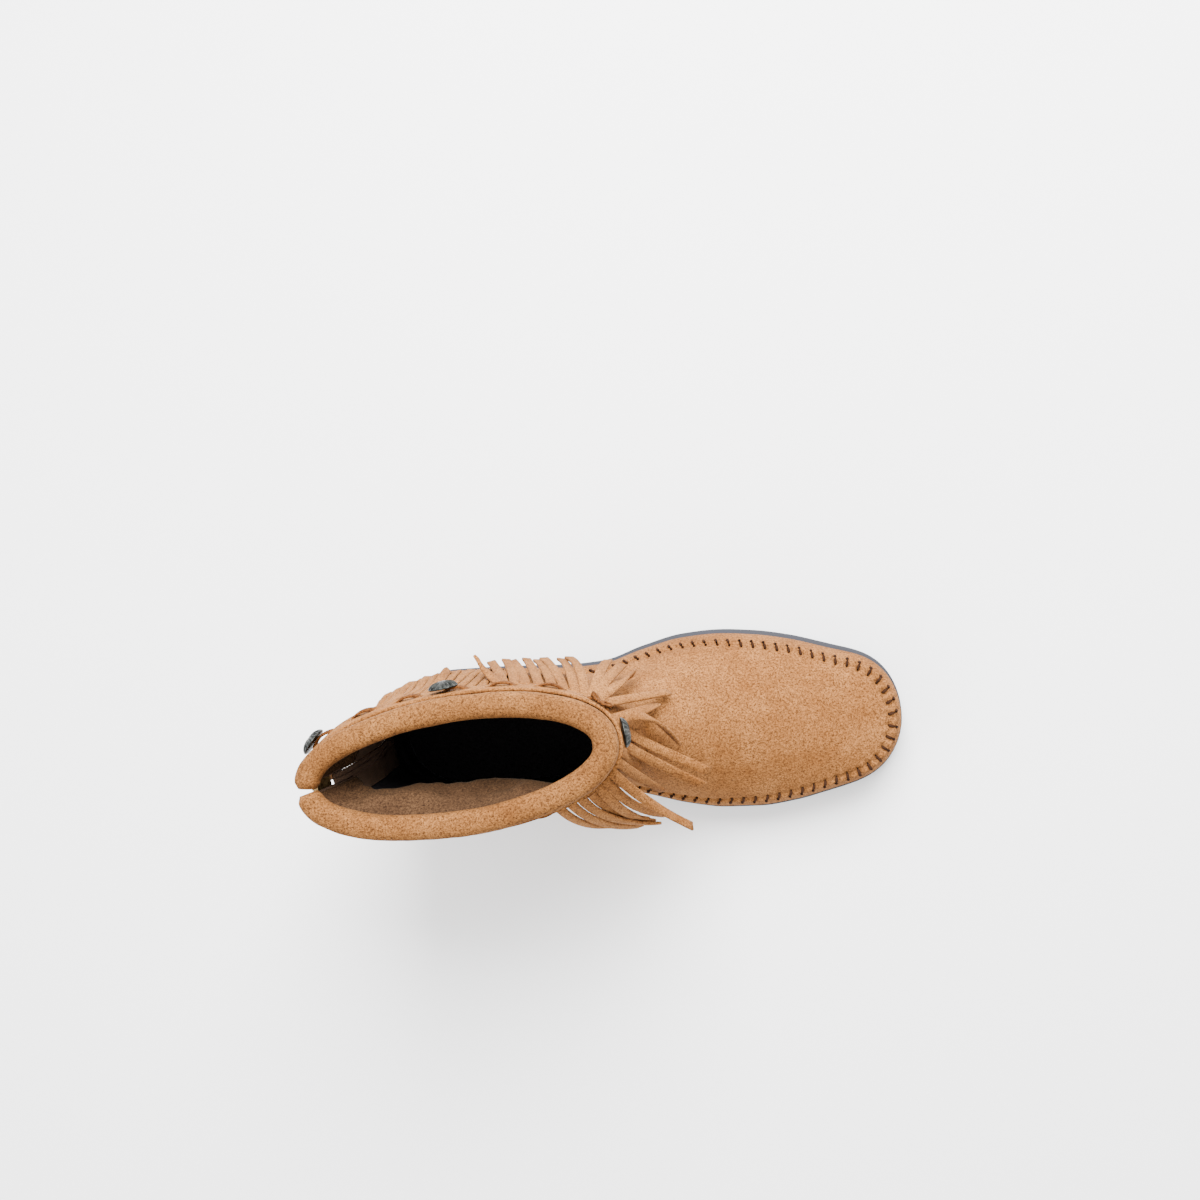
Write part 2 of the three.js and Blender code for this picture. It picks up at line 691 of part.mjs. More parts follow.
// Flow line down the shaft from its top edge, with its length so far at each stop
function flowLine(side, v) {
  const line = [];
  let run = 0;
  let before = null;
  for (let u = 3; u > 1.1; u -= 0.02) {
    const p = skin(side, u, v);
    if (before) run += p.distanceTo(before);
    line.push({ u, run });
    before = p;
  }
  return line;
}

function uAtDrop(line, drop) {
  let i = 0;
  while (i + 2 < line.length && line[i + 1].run < drop) i += 1;
  const t = (drop - line[i].run) / (line[i + 1].run - line[i].run);
  return mix(line[i].u, line[i + 1].u, t);
}

// Outward tilt of the band's lower edge: most at the outer back, none at the front
function flareAt(side, v) {
  return side > 0 ? BAND_FLARE * (1 - ease((v - 0.1) / 0.45)) : 0;
}

// A point of the surface that the band's back follows, at a drop below the top edge
function bandPoint(side, v, drop) {
  const u = uAtDrop(flowLine(side, v), drop);
  const share = Math.max(0, drop - BAND_DROP) / BAND_DEPTH;
  const out = skinNormal(side, u, Math.min(v, 0.999));
  return skin(side, u, v).addScaledVector(out, flareAt(side, v) * share);
}

// The last's outer surface as one sheet, to find where a level line meets it
function makeSheet() {
  const rows = steps(1.3, 3, 44);
  const columns = steps(0, 1, 22);
  const points = [];
  const triangles = [];
  const wide = 2 * columns.length;
  for (const u of rows) {
    for (const v of columns.slice().reverse()) points.push(skin(1, u, v));
    for (const v of columns) points.push(skin(-1, u, v));
  }
  for (let i = 0; i + 1 < rows.length; i += 1) {
    for (let j = 0; j + 1 < wide; j += 1) {
      const a = i * wide + j;
      triangles.push([a, a + wide, a + wide + 1], [a, a + wide + 1, a + 1]);
    }
  }
  return meshOf("sheet", points, triangles, new THREE.MeshStandardMaterial({ side: THREE.DoubleSide }));
}

const sheet = makeSheet();
const probe = new THREE.Raycaster();

// Point of the surface at a height, in the upright plane through a root that faces a level direction
function hangPoint(root, facing, aside, z) {
  for (const nudge of [0, 0.013, -0.017]) {
    const from = root.clone().addScaledVector(facing, 80).add(aside);
    from.z = z + nudge;
    probe.set(from, facing.clone().negate());
    const hits = probe.intersectObject(sheet);
    if (hits.length) return hits[0].point;
  }
  return null;
}

// Line in which a strip hangs from the band: stops with point, outward and downward
function fallLine(side, v, drop, length) {
  const u = uAtDrop(flowLine(side, v), drop);
  const root = skin(side, u, v);
  const facing = skinNormal(side, u, v);
  facing.z = 0;
  facing.normalize();
  const level = new THREE.Vector3(-facing.y, facing.x, 0);
  const none = new THREE.Vector3();
  const track = [];
  for (let z = root.z; z > root.z - length; z -= FALL_STEP) {
    const p = hangPoint(root, facing, none, z);
    const a = hangPoint(root, facing, level.clone().multiplyScalar(STRIP_WIDTH / 2), z);
    const b = hangPoint(root, facing, level.clone().multiplyScalar(-STRIP_WIDTH / 2), z);
    if (!p || !a || !b) break;
    track.push({ p, across: a.sub(b).normalize() });
  }
  const line = [];
  let run = 0;
  for (let i = 0; i + 1 < track.length; i += 1) {
    const down = track[i + 1].p.clone().sub(track[Math.max(0, i - 1)].p).normalize();
    const out = new THREE.Vector3().crossVectors(down, track[i].across).normalize();
    if (out.dot(facing) < 0) out.negate();
    line.push({ p: track[i].p, out, down, run });
    run += track[i + 1].p.distanceTo(track[i].p);
  }
  return line;
}

function onLine(line, run) {
  let i = 0;
  while (i + 2 < line.length && line[i + 1].run < run) i += 1;
  const [a, b] = [line[i], line[i + 1]];
  const t = Math.min(1, Math.max(0, (run - a.run) / (b.run - a.run)));
  const blend = (key) => a[key].clone().lerp(b[key], t);
  return { p: blend("p"), out: blend("out").normalize(), down: blend("down").normalize() };
}

// One strip of the fringe, from inside the band down over the shaft
function makeStrip(side, v, length, lift, look) {
  const line = fallLine(side, v, BAND_DROP + BAND_DEPTH - STRIP_ROOT, length);
  const stops = [0, 14, 28, 46, length];
  const rings = stops.map((run) => {
    const { p, out, down } = onLine(line, run);
    const across = new THREE.Vector3().crossVectors(out, down).normalize();
    const share = run < STRIP_ROOT ? 1 - STRIP_ROOT / BAND_DEPTH : mix(1, 0.3, ease(run / FLARE_FADE));
    const rise = lift * ease((run - STRIP_ROOT) / 11) + TIP_LIFT * Math.pow(run / length, 3);
    const raise = BAND_CLEAR + 0.1 + flareAt(side, v) * share + rise;
    const corner = (a, b) => p.clone().addScaledVector(across, a).addScaledVector(out, b);
    const w = STRIP_WIDTH / 2;
    return [
      corner(-w, raise),
      corner(w, raise),
      corner(w, raise + STRIP_THICK),
      corner(-w, raise + STRIP_THICK),
    ];
  });
  return loft("strip", rings, look);
}

// Shares of the way round one side at equal distances along the band's lower edge
function evenStops(side, pitch) {
  const table = [];
  let run = 0;
  let before = null;
  for (let v = 0; v <= 1.0001; v += 0.01) {
    const q = Math.min(v, 0.9999);
    const u = uAtDrop(flowLine(side, q), BAND_DROP + BAND_DEPTH);
    const p = skin(side, u, q);
    if (before) run += p.distanceTo(before);
    table.push({ at: run, v: q });
    before = p;
  }
  const count = Math.round((run - ZIP_MARGIN) / pitch);
  const step = (run - ZIP_MARGIN) / count;
  return Array.from({ length: count }, (_, i) => read(table, "v", run - step * (i + 0.5)));
}

// The fringe: a band round the shaft and its strips, one solid
function makeFringe(look) {
  const stops = ringStops([BAND_START].concat(ROUND_STEPS.slice(2)));
  const grid = stops.map(({ side, v }) =>
    [BAND_DROP, BAND_DROP + BAND_DEPTH / 2, BAND_DROP + BAND_DEPTH].map((drop) => ({
      p: bandPoint(side, v, drop),
    })),
  );
  const band = shell("band", [{ grid, flip: false }], BAND_CLEAR + BAND_THICK, BAND_CLEAR, look);
  let body = manifoldOf(band);
  for (const side of [1, -1]) {
    evenStops(side, STRIP_WIDTH + STRIP_GAP).forEach((v, i) => {
      const length = STRIP_LENGTH * (1 - 0.07 * ((i * 5 + (side > 0 ? 0 : 2)) % 3));
      const lift = STRIP_LIFT;
      body = body.add(manifoldOf(makeStrip(side, v, length, lift, look)));
    });
  }
  const whole = body.decompose().sort((a, b) => b.volume() - a.volume())[0];
  return meshFrom("fringe", whole, look);
}

// The lace: a flat strip round the band at its mid height
function makeLace(look) {
  const low = BAND_CLEAR + BAND_THICK + CLEAR;
  const middle = BAND_DROP + BAND_DEPTH / 2;
  const grid = ringStops([BAND_START].concat(ROUND_STEPS.slice(2))).map(({ side, v }) =>
    [middle - LACE_WIDTH / 2, middle + LACE_WIDTH / 2].map((drop) => ({ p: bandPoint(side, v, drop) })),
  );
  return shell("lace", [{ grid, flip: false }], low + LACE_THICK, low, look);
}

// One button: a fluted dome on a flat back, over the lace
function makeButton({ name, side, along }, look) {
  const radius = BUTTON_DIAMETER / 2;
  const count = BUTTON_FLUTES * 2;
  const rows = [
    { out: 1, up: 0 },
    { out: 1, up: BUTTON_RIM / BUTTON_HEIGHT },
    { out: 0.8, up: 0.7 },
    { out: 0.35, up: 1 },
  ];
  const rings = rows.map(({ out, up }, k) =>
    Array.from({ length: count }, (_, i) => {
      const a = (2 * Math.PI * i) / count;
      const flute = i % 2 === 1 && k > 0 && k < 3 ? 0.93 : 1;
      return new THREE.Vector3(
        radius * out * flute * Math.cos(a),
        radius * out * flute * Math.sin(a),
        BUTTON_HEIGHT * up,
      );
    }),
  );
  const mesh = loft(name, rings, look);
  const middle = BAND_DROP + BAND_DEPTH / 2;
  const rise = bandPoint(side, along, middle - 3).sub(bandPoint(side, along, middle + 3));
  const round = bandPoint(side, along + 0.01, middle).sub(bandPoint(side, along - 0.01, middle));
  const out = new THREE.Vector3().crossVectors(rise, round).normalize().multiplyScalar(side);
  const stand = BAND_CLEAR + BAND_THICK + LACE_THICK + 2 * CLEAR;
  mesh.position.copy(bandPoint(side, along, middle).addScaledVector(out, stand));
  mesh.quaternion.setFromUnitVectors(new THREE.Vector3(0, 0, 1), out);
  return mesh;
}

// Section whose back line is at a height
function uAtBack(z) {
  let low = 2;
  let high = 3;
  for (let i = 0; i < 40; i += 1) {
    const u = (low + high) / 2;
    if (backZ(u) < z) low = u;
    else high = u;
  }
  return (low + high) / 2;
}

// Frame of the back line at a height: its middle, and the ways up, across to the outer side, and outward
function backFrame(z) {
  const u = uAtBack(z);
  const middle = section(1, u).base;
  const up = section(1, Math.min(3, u + 0.03)).base.clone().sub(section(1, u - 0.03).base).normalize();
  const side = section(1, u).out;
  const across = side.clone().addScaledVector(up, -up.dot(side)).normalize();
  return { middle, up, across, out: new THREE.Vector3().crossVectors(up, across).normalize() };
}

function inFrame(frame, across, out, up = 0) {
  return frame.middle
    .clone()
    .addScaledVector(frame.across, across)
    .addScaledVector(frame.out, out)
    .addScaledVector(frame.up, up);
}

// One tape of the zip: a strip behind the slit's edge, from the chain's side to inside the shaft
function makeTape(name, side, look) {
  const high = uAtBack(TAPE_TOP);
  const places = BACK_STEPS.slice(1).filter((u) => u < high - 0.02);
  const grid = places.concat([high]).map((u) => {
    const edge = skin(side, u, 0);
    const next = skin(side, u, ROUND_STEPS[2]);
    const frame = backFrame(backZ(u));
    const near = inFrame(frame, side * (CHAIN_WIDTH / 2 + CLEAR), 0);
    return [near, edge, edge.clone().lerp(next, TAPE_REACH)].map((p) => ({ p }));
  });
  const depth = WALL + TAPE_CLEAR;
  return shell(name, [{ grid, flip: side < 0 }], -depth, -depth - TAPE_THICK, look);
}

// The closed chain between the tapes, its rows of teeth shown as steps down both edges
function makeChain(look) {
  const rings = [];
  const count = Math.floor((ZIP_TOP - ZIP_BOTTOM - SLIT_POINT - CLEAR) / TOOTH_PITCH);
  for (let k = 0; k <= count; k += 1) {
    const low = ZIP_BOTTOM + SLIT_POINT + CLEAR + k * TOOTH_PITCH;
    const steps = [[0, 0], [TOOTH_PITCH * 0.5, 0], [TOOTH_PITCH * 0.5, 1], [TOOTH_PITCH, 1]];
    for (const [rise, thin] of steps.slice(0, k === count ? 1 : 4)) {
      const z = low + rise + (thin ? 0.02 : 0) - (rise === TOOTH_PITCH ? 0.04 : 0);
      if (z > ZIP_TOP) continue;
      const half = CHAIN_WIDTH / 2 - (thin ? TOOTH_STEP : 0);
      const frame = backFrame(z);
      rings.push([
        inFrame(frame, -half, -CHAIN_SUNK - CHAIN_THICK / 2),
        inFrame(frame, half, -CHAIN_SUNK - CHAIN_THICK / 2),
        inFrame(frame, half, -CHAIN_SUNK + CHAIN_THICK / 2),
        inFrame(frame, -half, -CHAIN_SUNK + CHAIN_THICK / 2),
      ]);
    }
  }
  return loft("zip_chain", rings, look);
}

// A box in the frame of the slider: spans across, out and up, given as pairs of limits
function blockAt(frame, across, out, up, look) {
  const ring = (rise) => [
    inFrame(frame, across[0], out[0], rise),
    inFrame(frame, across[1], out[0], rise),
    inFrame(frame, across[1], out[1], rise),
    inFrame(frame, across[0], out[1], rise),
  ];
  return loft("block", [ring(up[0]), ring(up[1])], look);
}

// A round bar across the slider's frame
function barAt(frame, radius, half, out, up, look) {
  const count = 12;
  const ring = (across) =>
    Array.from({ length: count }, (_, i) => {
      const a = (2 * Math.PI * i) / count;
      return inFrame(frame, across, out + radius * Math.cos(a), up + radius * Math.sin(a));
    });
  return loft("bar", [ring(-half), ring(half)], look);
}

const sliderFrame = backFrame(ZIP_TOP + CLEAR + SLIDER_LENGTH / 2);
const SLIDER_BACK = -WALL - TAPE_CLEAR + CLEAR;
const SLIDER_FACE = SLIDER_BACK + SLIDER_THICK;
const EYE_HOLE = PIN_WIDTH / 2 + EYE_CLEAR;
const PIN_OUT = SLIDER_FACE + CLEAR + EYE_HOLE + EYE_WALL;
const EAR_INNER = SLIDER_WIDTH / 2 - EAR_WIDTH;

// The slider at the top of the chain, with two ears and a pin for its pull
function makeSlider(look) {
  const f = sliderFrame;
  const half = SLIDER_WIDTH / 2;
  const long = SLIDER_LENGTH / 2;
  let body = manifoldOf(blockAt(f, [-half, half], [SLIDER_BACK, SLIDER_FACE], [-long, long], look));
  for (const side of [1, -1]) {
    const across = [side * EAR_INNER, side * half].sort((a, b) => a - b);
    const out = [SLIDER_FACE - 1, SLIDER_FACE + EAR_REACH];
    const ear = blockAt(f, across, out, [-EAR_LENGTH / 2, EAR_LENGTH / 2], look);
    body = body.add(manifoldOf(ear));
  }
  body = body.add(manifoldOf(barAt(f, PIN_WIDTH / 2, half - 0.1, PIN_OUT, 0, look)));
  return meshFrom("zip_slider", body, look);
}

// The pull: an eye round the slider's pin and a flat tab hanging from it
function makePull(look) {
  const middle = inFrame(sliderFrame, 0, PIN_OUT);
  const across = sliderFrame.across;
  const up = new THREE.Vector3(0, 0, 1).addScaledVector(across, -across.z).normalize();
  const f = { middle, across, up, out: new THREE.Vector3().crossVectors(up, across) };
  const eye = EAR_INNER - CLEAR;
  const tabTop = -EAR_REACH - CLEAR;
  const thick = [-PULL_THICK / 2, PULL_THICK / 2];
  let body = manifoldOf(barAt(f, EYE_HOLE + EYE_WALL, eye, 0, 0, look));
  body = body.add(manifoldOf(blockAt(f, [-eye, eye], thick, [tabTop - 2, -EYE_HOLE], look)));
  const wide = [-PULL_WIDTH / 2, PULL_WIDTH / 2];
  body = body.add(manifoldOf(blockAt(f, wide, thick, [-PULL_LENGTH, tabTop - 1], look)));
  body = body.subtract(manifoldOf(barAt(f, EYE_HOLE, eye + 1, 0, 0, look)));
  return meshFrom("zip_pull", body, look);
}

const look = (color, roughness, metalness) =>
  new THREE.MeshStandardMaterial({ color, roughness, metalness });
const looks = {
  suede: look(0xcfa274, 0.95, 0),
  fringe: look(0xc99a6b, 0.95, 0),
  rubber: look(0x4d5063, 0.7, 0),
  insole: look(0x1c1a1d, 0.9, 0),
  metal: look(0x3f4346, 0.4, 1),
  tape: look(0x6b4a33, 0.9, 0),
  brass: look(0xb08a4a, 0.35, 1),
};

const boot = new THREE.Group();
boot.add(makeOutsole(looks.rubber));
boot.add(makeInsole(looks.insole));
boot.add(makeUpper(looks.suede));
boot.add(makeCollar(looks.suede));
boot.add(makeFringe(looks.fringe));
boot.add(makeLace(looks.fringe));
for (const button of BUTTONS) boot.add(makeButton(button, looks.metal));
boot.add(makeTape("zip_tape_outer", 1, looks.tape));
boot.add(makeTape("zip_tape_inner", -1, looks.tape));
boot.add(makeChain(looks.brass));
boot.add(makeSlider(looks.brass));
boot.add(makePull(looks.brass));

export default boot;
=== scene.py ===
# %% [markdown]
# # A fringed moccasin boot, dressed in Blender
# The CAD model of this boot gives its true sizes: the sole, the hollow upper, the padded collar, the
# band with its fringe, the lace with its buttons, and the zip. This notebook dresses it as the real
# boot looks: soft suede with a nap, thread, rubber and dark metal. It works in millimetres and turns
# them into metres when a mesh is made, because Blender's unit is the metre.

# %% Load the fixed frame
import math
from functools import lru_cache

import bpy
import numpy as np
from mathutils import Matrix, Vector, noise
from mathutils.bvhtree import BVHTree


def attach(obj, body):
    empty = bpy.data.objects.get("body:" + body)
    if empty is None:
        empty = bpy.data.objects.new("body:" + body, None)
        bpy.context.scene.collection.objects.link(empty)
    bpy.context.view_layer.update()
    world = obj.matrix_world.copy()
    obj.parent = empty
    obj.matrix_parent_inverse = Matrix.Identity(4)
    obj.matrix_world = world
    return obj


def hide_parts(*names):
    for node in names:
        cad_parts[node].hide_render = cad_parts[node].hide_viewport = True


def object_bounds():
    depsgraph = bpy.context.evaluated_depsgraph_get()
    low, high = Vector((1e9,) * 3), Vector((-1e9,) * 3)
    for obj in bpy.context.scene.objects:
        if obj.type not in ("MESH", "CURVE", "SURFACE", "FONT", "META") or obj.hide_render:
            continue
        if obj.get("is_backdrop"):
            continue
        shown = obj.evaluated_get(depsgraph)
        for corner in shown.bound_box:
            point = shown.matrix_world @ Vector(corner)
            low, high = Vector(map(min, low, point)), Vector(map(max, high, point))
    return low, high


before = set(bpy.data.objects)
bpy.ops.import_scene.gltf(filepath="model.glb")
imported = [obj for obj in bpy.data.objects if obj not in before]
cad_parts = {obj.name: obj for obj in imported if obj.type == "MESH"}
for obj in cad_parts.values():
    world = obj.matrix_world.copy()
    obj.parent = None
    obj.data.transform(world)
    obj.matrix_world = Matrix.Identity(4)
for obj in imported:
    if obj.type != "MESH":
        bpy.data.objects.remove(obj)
cad_low, cad_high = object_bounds()
print("CAD box in mm:", [round(1000 * (b - a), 1) for a, b in zip(cad_low, cad_high)])

# %% [markdown]
# ## The camera
# The photograph looks almost straight down on the boot, from a little in front of its middle. A camera
# could be aimed by eye, but here its place comes from the picture: its lean towards the toe and the
# outer side, its roll and its distance were fitted to the outline of the sole and the collar.

# %% Place the camera
PICTURE_SIDE = 1200
FOCAL_PIXELS = 1471
CAMERA_TARGET = Vector((0.0867, 0.0654, 0.075))
CAMERA_DISTANCE = 0.7


def aim_camera(lean_toe, lean_outer, roll):
    """Make the scene's camera, looking down at the target with its picture turned by the roll."""
    back = Vector((math.tan(math.radians(lean_toe)), math.tan(math.radians(lean_outer)), 1)).normalized()
    right = (Vector((1, 0, 0)) - back.x * back).normalized()
    up = back.cross(right)
    turn = math.radians(roll)
    right, up = right * math.cos(turn) + up * math.sin(turn), up * math.cos(turn) - right * math.sin(turn)
    camera = bpy.data.objects.new("photo_camera", bpy.data.cameras.new("photo_camera"))
    bpy.context.scene.collection.objects.link(camera)
    place = Matrix((right, up, back)).transposed().to_4x4()
    place.translation = CAMERA_TARGET + back * CAMERA_DISTANCE
    camera.matrix_world = place
    camera.data.sensor_width = 36
    camera.data.lens = FOCAL_PIXELS * 36 / PICTURE_SIDE
    bpy.context.scene.camera = camera
    return camera


photo_camera = aim_camera(lean_toe=10.52, lean_outer=0.66, roll=-2.51)
print("camera at", [round(c, 3) for c in photo_camera.location], "lens", round(photo_camera.data.lens, 1))

# %% [markdown]
# ## The studio
# A product picture like this one has a seamless pale floor and big soft lamps, so that shadows are
# short and blurred. One large lamp above the outer side gives the suede its shape, and a weaker one
# from the heel fills the dark side. The bright surroundings do the rest.


# %% Floor and lamps
SURROUNDINGS = 1.7


def soft_lamp(name, place, aim, side, power):
    """A large square lamp that looks at a point."""
    data = bpy.data.lights.new(name, "AREA")
    data.shape, data.size, data.energy = "SQUARE", side, power
    lamp = bpy.data.objects.new(name, data)
    bpy.context.scene.collection.objects.link(lamp)
    lamp.location = place
    lamp.rotation_euler = (Vector(place) - Vector(aim)).to_track_quat("Z", "Y").to_euler()
    return lamp


def pale_floor(side):
    """A flat floor at height zero."""
    data = bpy.data.meshes.new("floor")
    h = side / 2
    data.from_pydata([(-h, -h, 0), (h, -h, 0), (h, h, 0), (-h, h, 0)], [], [(0, 1, 2, 3)])
    floor = bpy.data.objects.new("floor", data)
    bpy.context.scene.collection.objects.link(floor)
    floor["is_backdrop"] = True
    return floor


floor = pale_floor(6)
middle = (0.09, 0, 0.05)
soft_lamp("key_lamp", (0.25, 0.8, 0.95), middle, side=0.8, power=74)
soft_lamp("fill_lamp", (-0.9, -0.4, 0.9), middle, side=0.9, power=14)
world = bpy.context.scene.world or bpy.data.worlds.new("studio")
bpy.context.scene.world = world
world.use_nodes = True
world.node_tree.nodes["Background"].inputs["Color"].default_value = (1, 1, 1, 1)
world.node_tree.nodes["Background"].inputs["Strength"].default_value = SURROUNDINGS
print("studio: one key lamp, one fill lamp, white surroundings")

# %% [markdown]
# ## A short language for materials
# A material is a graph of nodes, and its wiring can be written out link by link. Sums are easier to
# read: here a small class stands for one output, and plus, times and the rest make the Math nodes.
# One more method makes any other node, so each finish below reads like a recipe.


# %% Outputs that can be added and multiplied
class Value:
    """One node output. Arithmetic on it makes Math nodes in the same material."""

    def __init__(self, finish, socket):
        self.finish, self.socket = finish, socket

    def _math(self, kind, first, second):
        return self.finish.node("ShaderNodeMath", {0: first, 1: second}, operation=kind)

    def __add__(self, other):
        return self._math("ADD", self, other)

    __radd__ = __add__

    def __sub__(self, other):
        return self._math("SUBTRACT", self, other)

    def __rsub__(self, other):
        return self._math("SUBTRACT", other, self)

    def __mul__(self, other):
        return self._math("MULTIPLY", self, other)

    __rmul__ = __mul__

    def __truediv__(self, other):
        return self._math("DIVIDE", self, other)

    def __rtruediv__(self, other):
        return self._math("DIVIDE", other, self)

    def __pow__(self, other):
        return self._math("POWER", self, other)

    def __rpow__(self, other):
        return self._math("POWER", other, self)

    def over(self, limit, soft):
        """0 below the limit, 1 above it, with a soft change of that width."""
        return self.finish.node(
            "ShaderNodeMapRange", {"Value": self, "From Min": limit - soft / 2, "From Max": limit + soft / 2}
        )


class Finish:
    """One material, with its shader's sockets set by name."""

    def __init__(self, name, **sockets):
        self.material = bpy.data.materials.new(name)
        self.material.use_nodes = True
        self.tree = self.material.node_tree
        self.shader = self.tree.nodes["Principled BSDF"]
        self.set(**sockets)

    def put(self, socket, value):
        if isinstance(value, Value):
            self.tree.links.new(value.socket, socket)
        elif socket.type == "RGBA" and len(value) == 3:
            socket.default_value = (*value, 1)
        else:
            socket.default_value = value

    def set(self, **sockets):
        for name, value in sockets.items():
            self.put(self.shader.inputs[name.replace("_", " ")], value)

    def node(self, kind, inputs=None, output=0, **settings):
        made = self.tree.nodes.new(kind)
        for name, value in settings.items():
            setattr(made, name, value)
        for name, value in (inputs or {}).items():
            self.put(made.inputs[name], value)
        return Value(self, made.outputs[output])

    def place(self):
        """Coordinates on the piece in millimetres."""
        where = self.node("ShaderNodeTexCoord", output="Object")
        return self.node("ShaderNodeVectorMath", {0: where, 1: (1000, 1000, 1000)}, operation="MULTIPLY")

    def grain(self, size, detail=2.0, rough=0.5):
        """Noise whose lumps are about that many millimetres across."""
        return self.node(
            "ShaderNodeTexNoise",
            {"Vector": self.place(), "Scale": 1 / size, "Detail": detail, "Roughness": rough},
        )

    def blend(self, share, first, second):
        """A colour between two colours."""
        made = self.tree.nodes.new("ShaderNodeMix")
        made.data_type = "RGBA"
        made.clamp_factor = True
        self.put(made.inputs[0], share)
        self.put(made.inputs[6], first)
        self.put(made.inputs[7], second)
        return Value(self, made.outputs[2])

    def bumps(self, height, depth, strength=1.0):
        """Relief whose full height is that many millimetres."""
        values = {"Height": height, "Strength": strength, "Distance": depth / 1000}
        self.set(Normal=self.node("ShaderNodeBump", values))


print("materials can be written as sums")

# %% [markdown]
# ## Suede
# Suede is the flesh side of leather, brushed up into a nap. Close to, it is a speckle of lighter and
# darker fibre tips under a millimetre across. From a step back it has soft clouds where the nap lies
# another way. It has no gloss, only a pale sheen at the edges, which the shader's sheen gives.


# %% Suede finishes
NAP_SIZE, NAP_STRENGTH = 0.95, 0.6


def suede(name, dark, mid, light):
    """A napped leather from three tones of one colour."""
    finish = Finish(name, Roughness=0.92, Specular_IOR_Level=0.06)
    finish.set(Sheen_Weight=0.03, Sheen_Roughness=0.4, Sheen_Tint=(0.95, 0.7, 0.45))
    clouds = finish.grain(26, detail=3, rough=0.55)
    swirl = finish.grain(7, detail=2, rough=0.6)
    fibre = finish.grain(NAP_SIZE, detail=2, rough=0.7)
    fine = finish.grain(NAP_SIZE * 0.4, detail=1, rough=0.5)
    tone = 0.42 + (clouds - 0.5) * 1.7 + (swirl - 0.5) * 0.9
    base = finish.blend(tone, mid, light)
    speck = ((fibre - 0.5) * 3.0 + (fine - 0.5) * 2.2 + 0.5).over(0.45, 1.2)
    finish.set(Base_Color=finish.blend(1 - speck, base, dark))
    finish.bumps(fibre * 0.6 + fine * 0.4 + swirl * 0.5, 0.5, strength=NAP_STRENGTH)
    return finish.material


SUEDES = {
    # name: dark fibre tips, middle tone, light tone
    "sand_suede": ((0.055, 0.020, 0.0055), (0.218, 0.083, 0.0215), (0.365, 0.158, 0.050)),
    "strip_suede": ((0.060, 0.021, 0.0055), (0.238, 0.090, 0.022), (0.39, 0.172, 0.053)),
    # painted shade: the facing is the same suede, coloured far darker for the shade inside the shaft
    "facing_suede_painted_shade": ((0.016, 0.0075, 0.0038), (0.050, 0.025, 0.012), (0.095, 0.050, 0.024)),
    "lace_suede": ((0.02, 0.006, 0.002), (0.105, 0.034, 0.008), (0.20, 0.076, 0.020)),
    # painted shade: the whole collar roll gets this darker copy of the sand suede, for the shade on its side
    # turned from the key lamp
    "roll_suede_painted_shade": ((0.042, 0.015, 0.0044), (0.176, 0.068, 0.0175), (0.30, 0.130, 0.039)),
}
sand, sand_strip, facing_suede_painted_shade, lace_suede, roll_suede_painted_shade = (
    suede(name, *tones) for name, tones in SUEDES.items()
)
print("suedes:", *(m.name for m in (sand, sand_strip, facing_suede_painted_shade, lace_suede, roll_suede_painted_shade)))

# %% [markdown]
# ## Lining, thread, rubber and metal
# The inside is a dark cloth that hardly shows. The thread is waxed and brown, the sole a matt blue
# grey rubber with dust on it, the buttons cast and darkened metal with brighter worn patches scattered
# at random, and the zip's tape is a twill.


# %% The other finishes
def lining_cloth():
    finish = Finish("lining_cloth", Roughness=0.95, Specular_IOR_Level=0.1)
    weave = finish.grain(0.6, detail=2)
    finish.set(Base_Color=finish.blend(weave, (0.008, 0.007, 0.008), (0.028, 0.025, 0.027)))
    finish.bumps(weave, 0.3, strength=0.4)
    return finish.material


def waxed_thread():
    finish = Finish("waxed_thread", Roughness=0.9, Specular_IOR_Level=0.08)
    ply = finish.grain(0.5, detail=2)
    finish.set(Base_Color=finish.blend(ply, (0.010, 0.0035, 0.0018), (0.045, 0.018, 0.008)))
    finish.bumps(ply, 0.25, strength=0.6)
    return finish.material


def sole_rubber():
    finish = Finish("sole_rubber", Specular_IOR_Level=0.35)
    dust = finish.grain(9, detail=4, rough=0.65)
    pores = finish.grain(0.8, detail=2)
    tone = finish.blend(dust.over(0.52, 0.3) * 0.55, (0.010, 0.011, 0.017), (0.032, 0.034, 0.048))
    finish.set(Base_Color=tone, Roughness=0.5 + dust * 0.3)
    finish.bumps(pores * 0.4 + dust * 0.6, 0.3, strength=0.4)
    return finish.material


def worn_metal(name, dark, bright, rough):
    finish = Finish(name, Metallic=1.0)
    wear = finish.grain(2.2, detail=3, rough=0.6)
    finish.set(Base_Color=finish.blend(wear.over(0.52, 0.35), dark, bright), Roughness=rough + wear * 0.25)
    finish.bumps(wear, 0.12, strength=0.3)
    return finish.material


def zip_tape():
    finish = Finish("zip_tape_twill", Roughness=0.9)
    place = finish.place()
    rib = finish.node(
        "ShaderNodeTexWave",
        {"Vector": place, "Scale": 0.35, "Distortion": 0.6, "Detail": 1.0},
        output="Fac",
        bands_direction="Z",
    )
    finish.set(Base_Color=finish.blend(rib, (0.05, 0.024, 0.012), (0.11, 0.058, 0.03)))
    finish.bumps(rib, 0.25, strength=0.5)
    return finish.material


def studio_paper():
    finish = Finish("studio_paper", Roughness=0.9, Specular_IOR_Level=0.2)
    tone = finish.grain(400, detail=1)
    finish.set(Base_Color=finish.blend(tone, (0.93, 0.93, 0.935), (0.95, 0.95, 0.955)))
    return finish.material


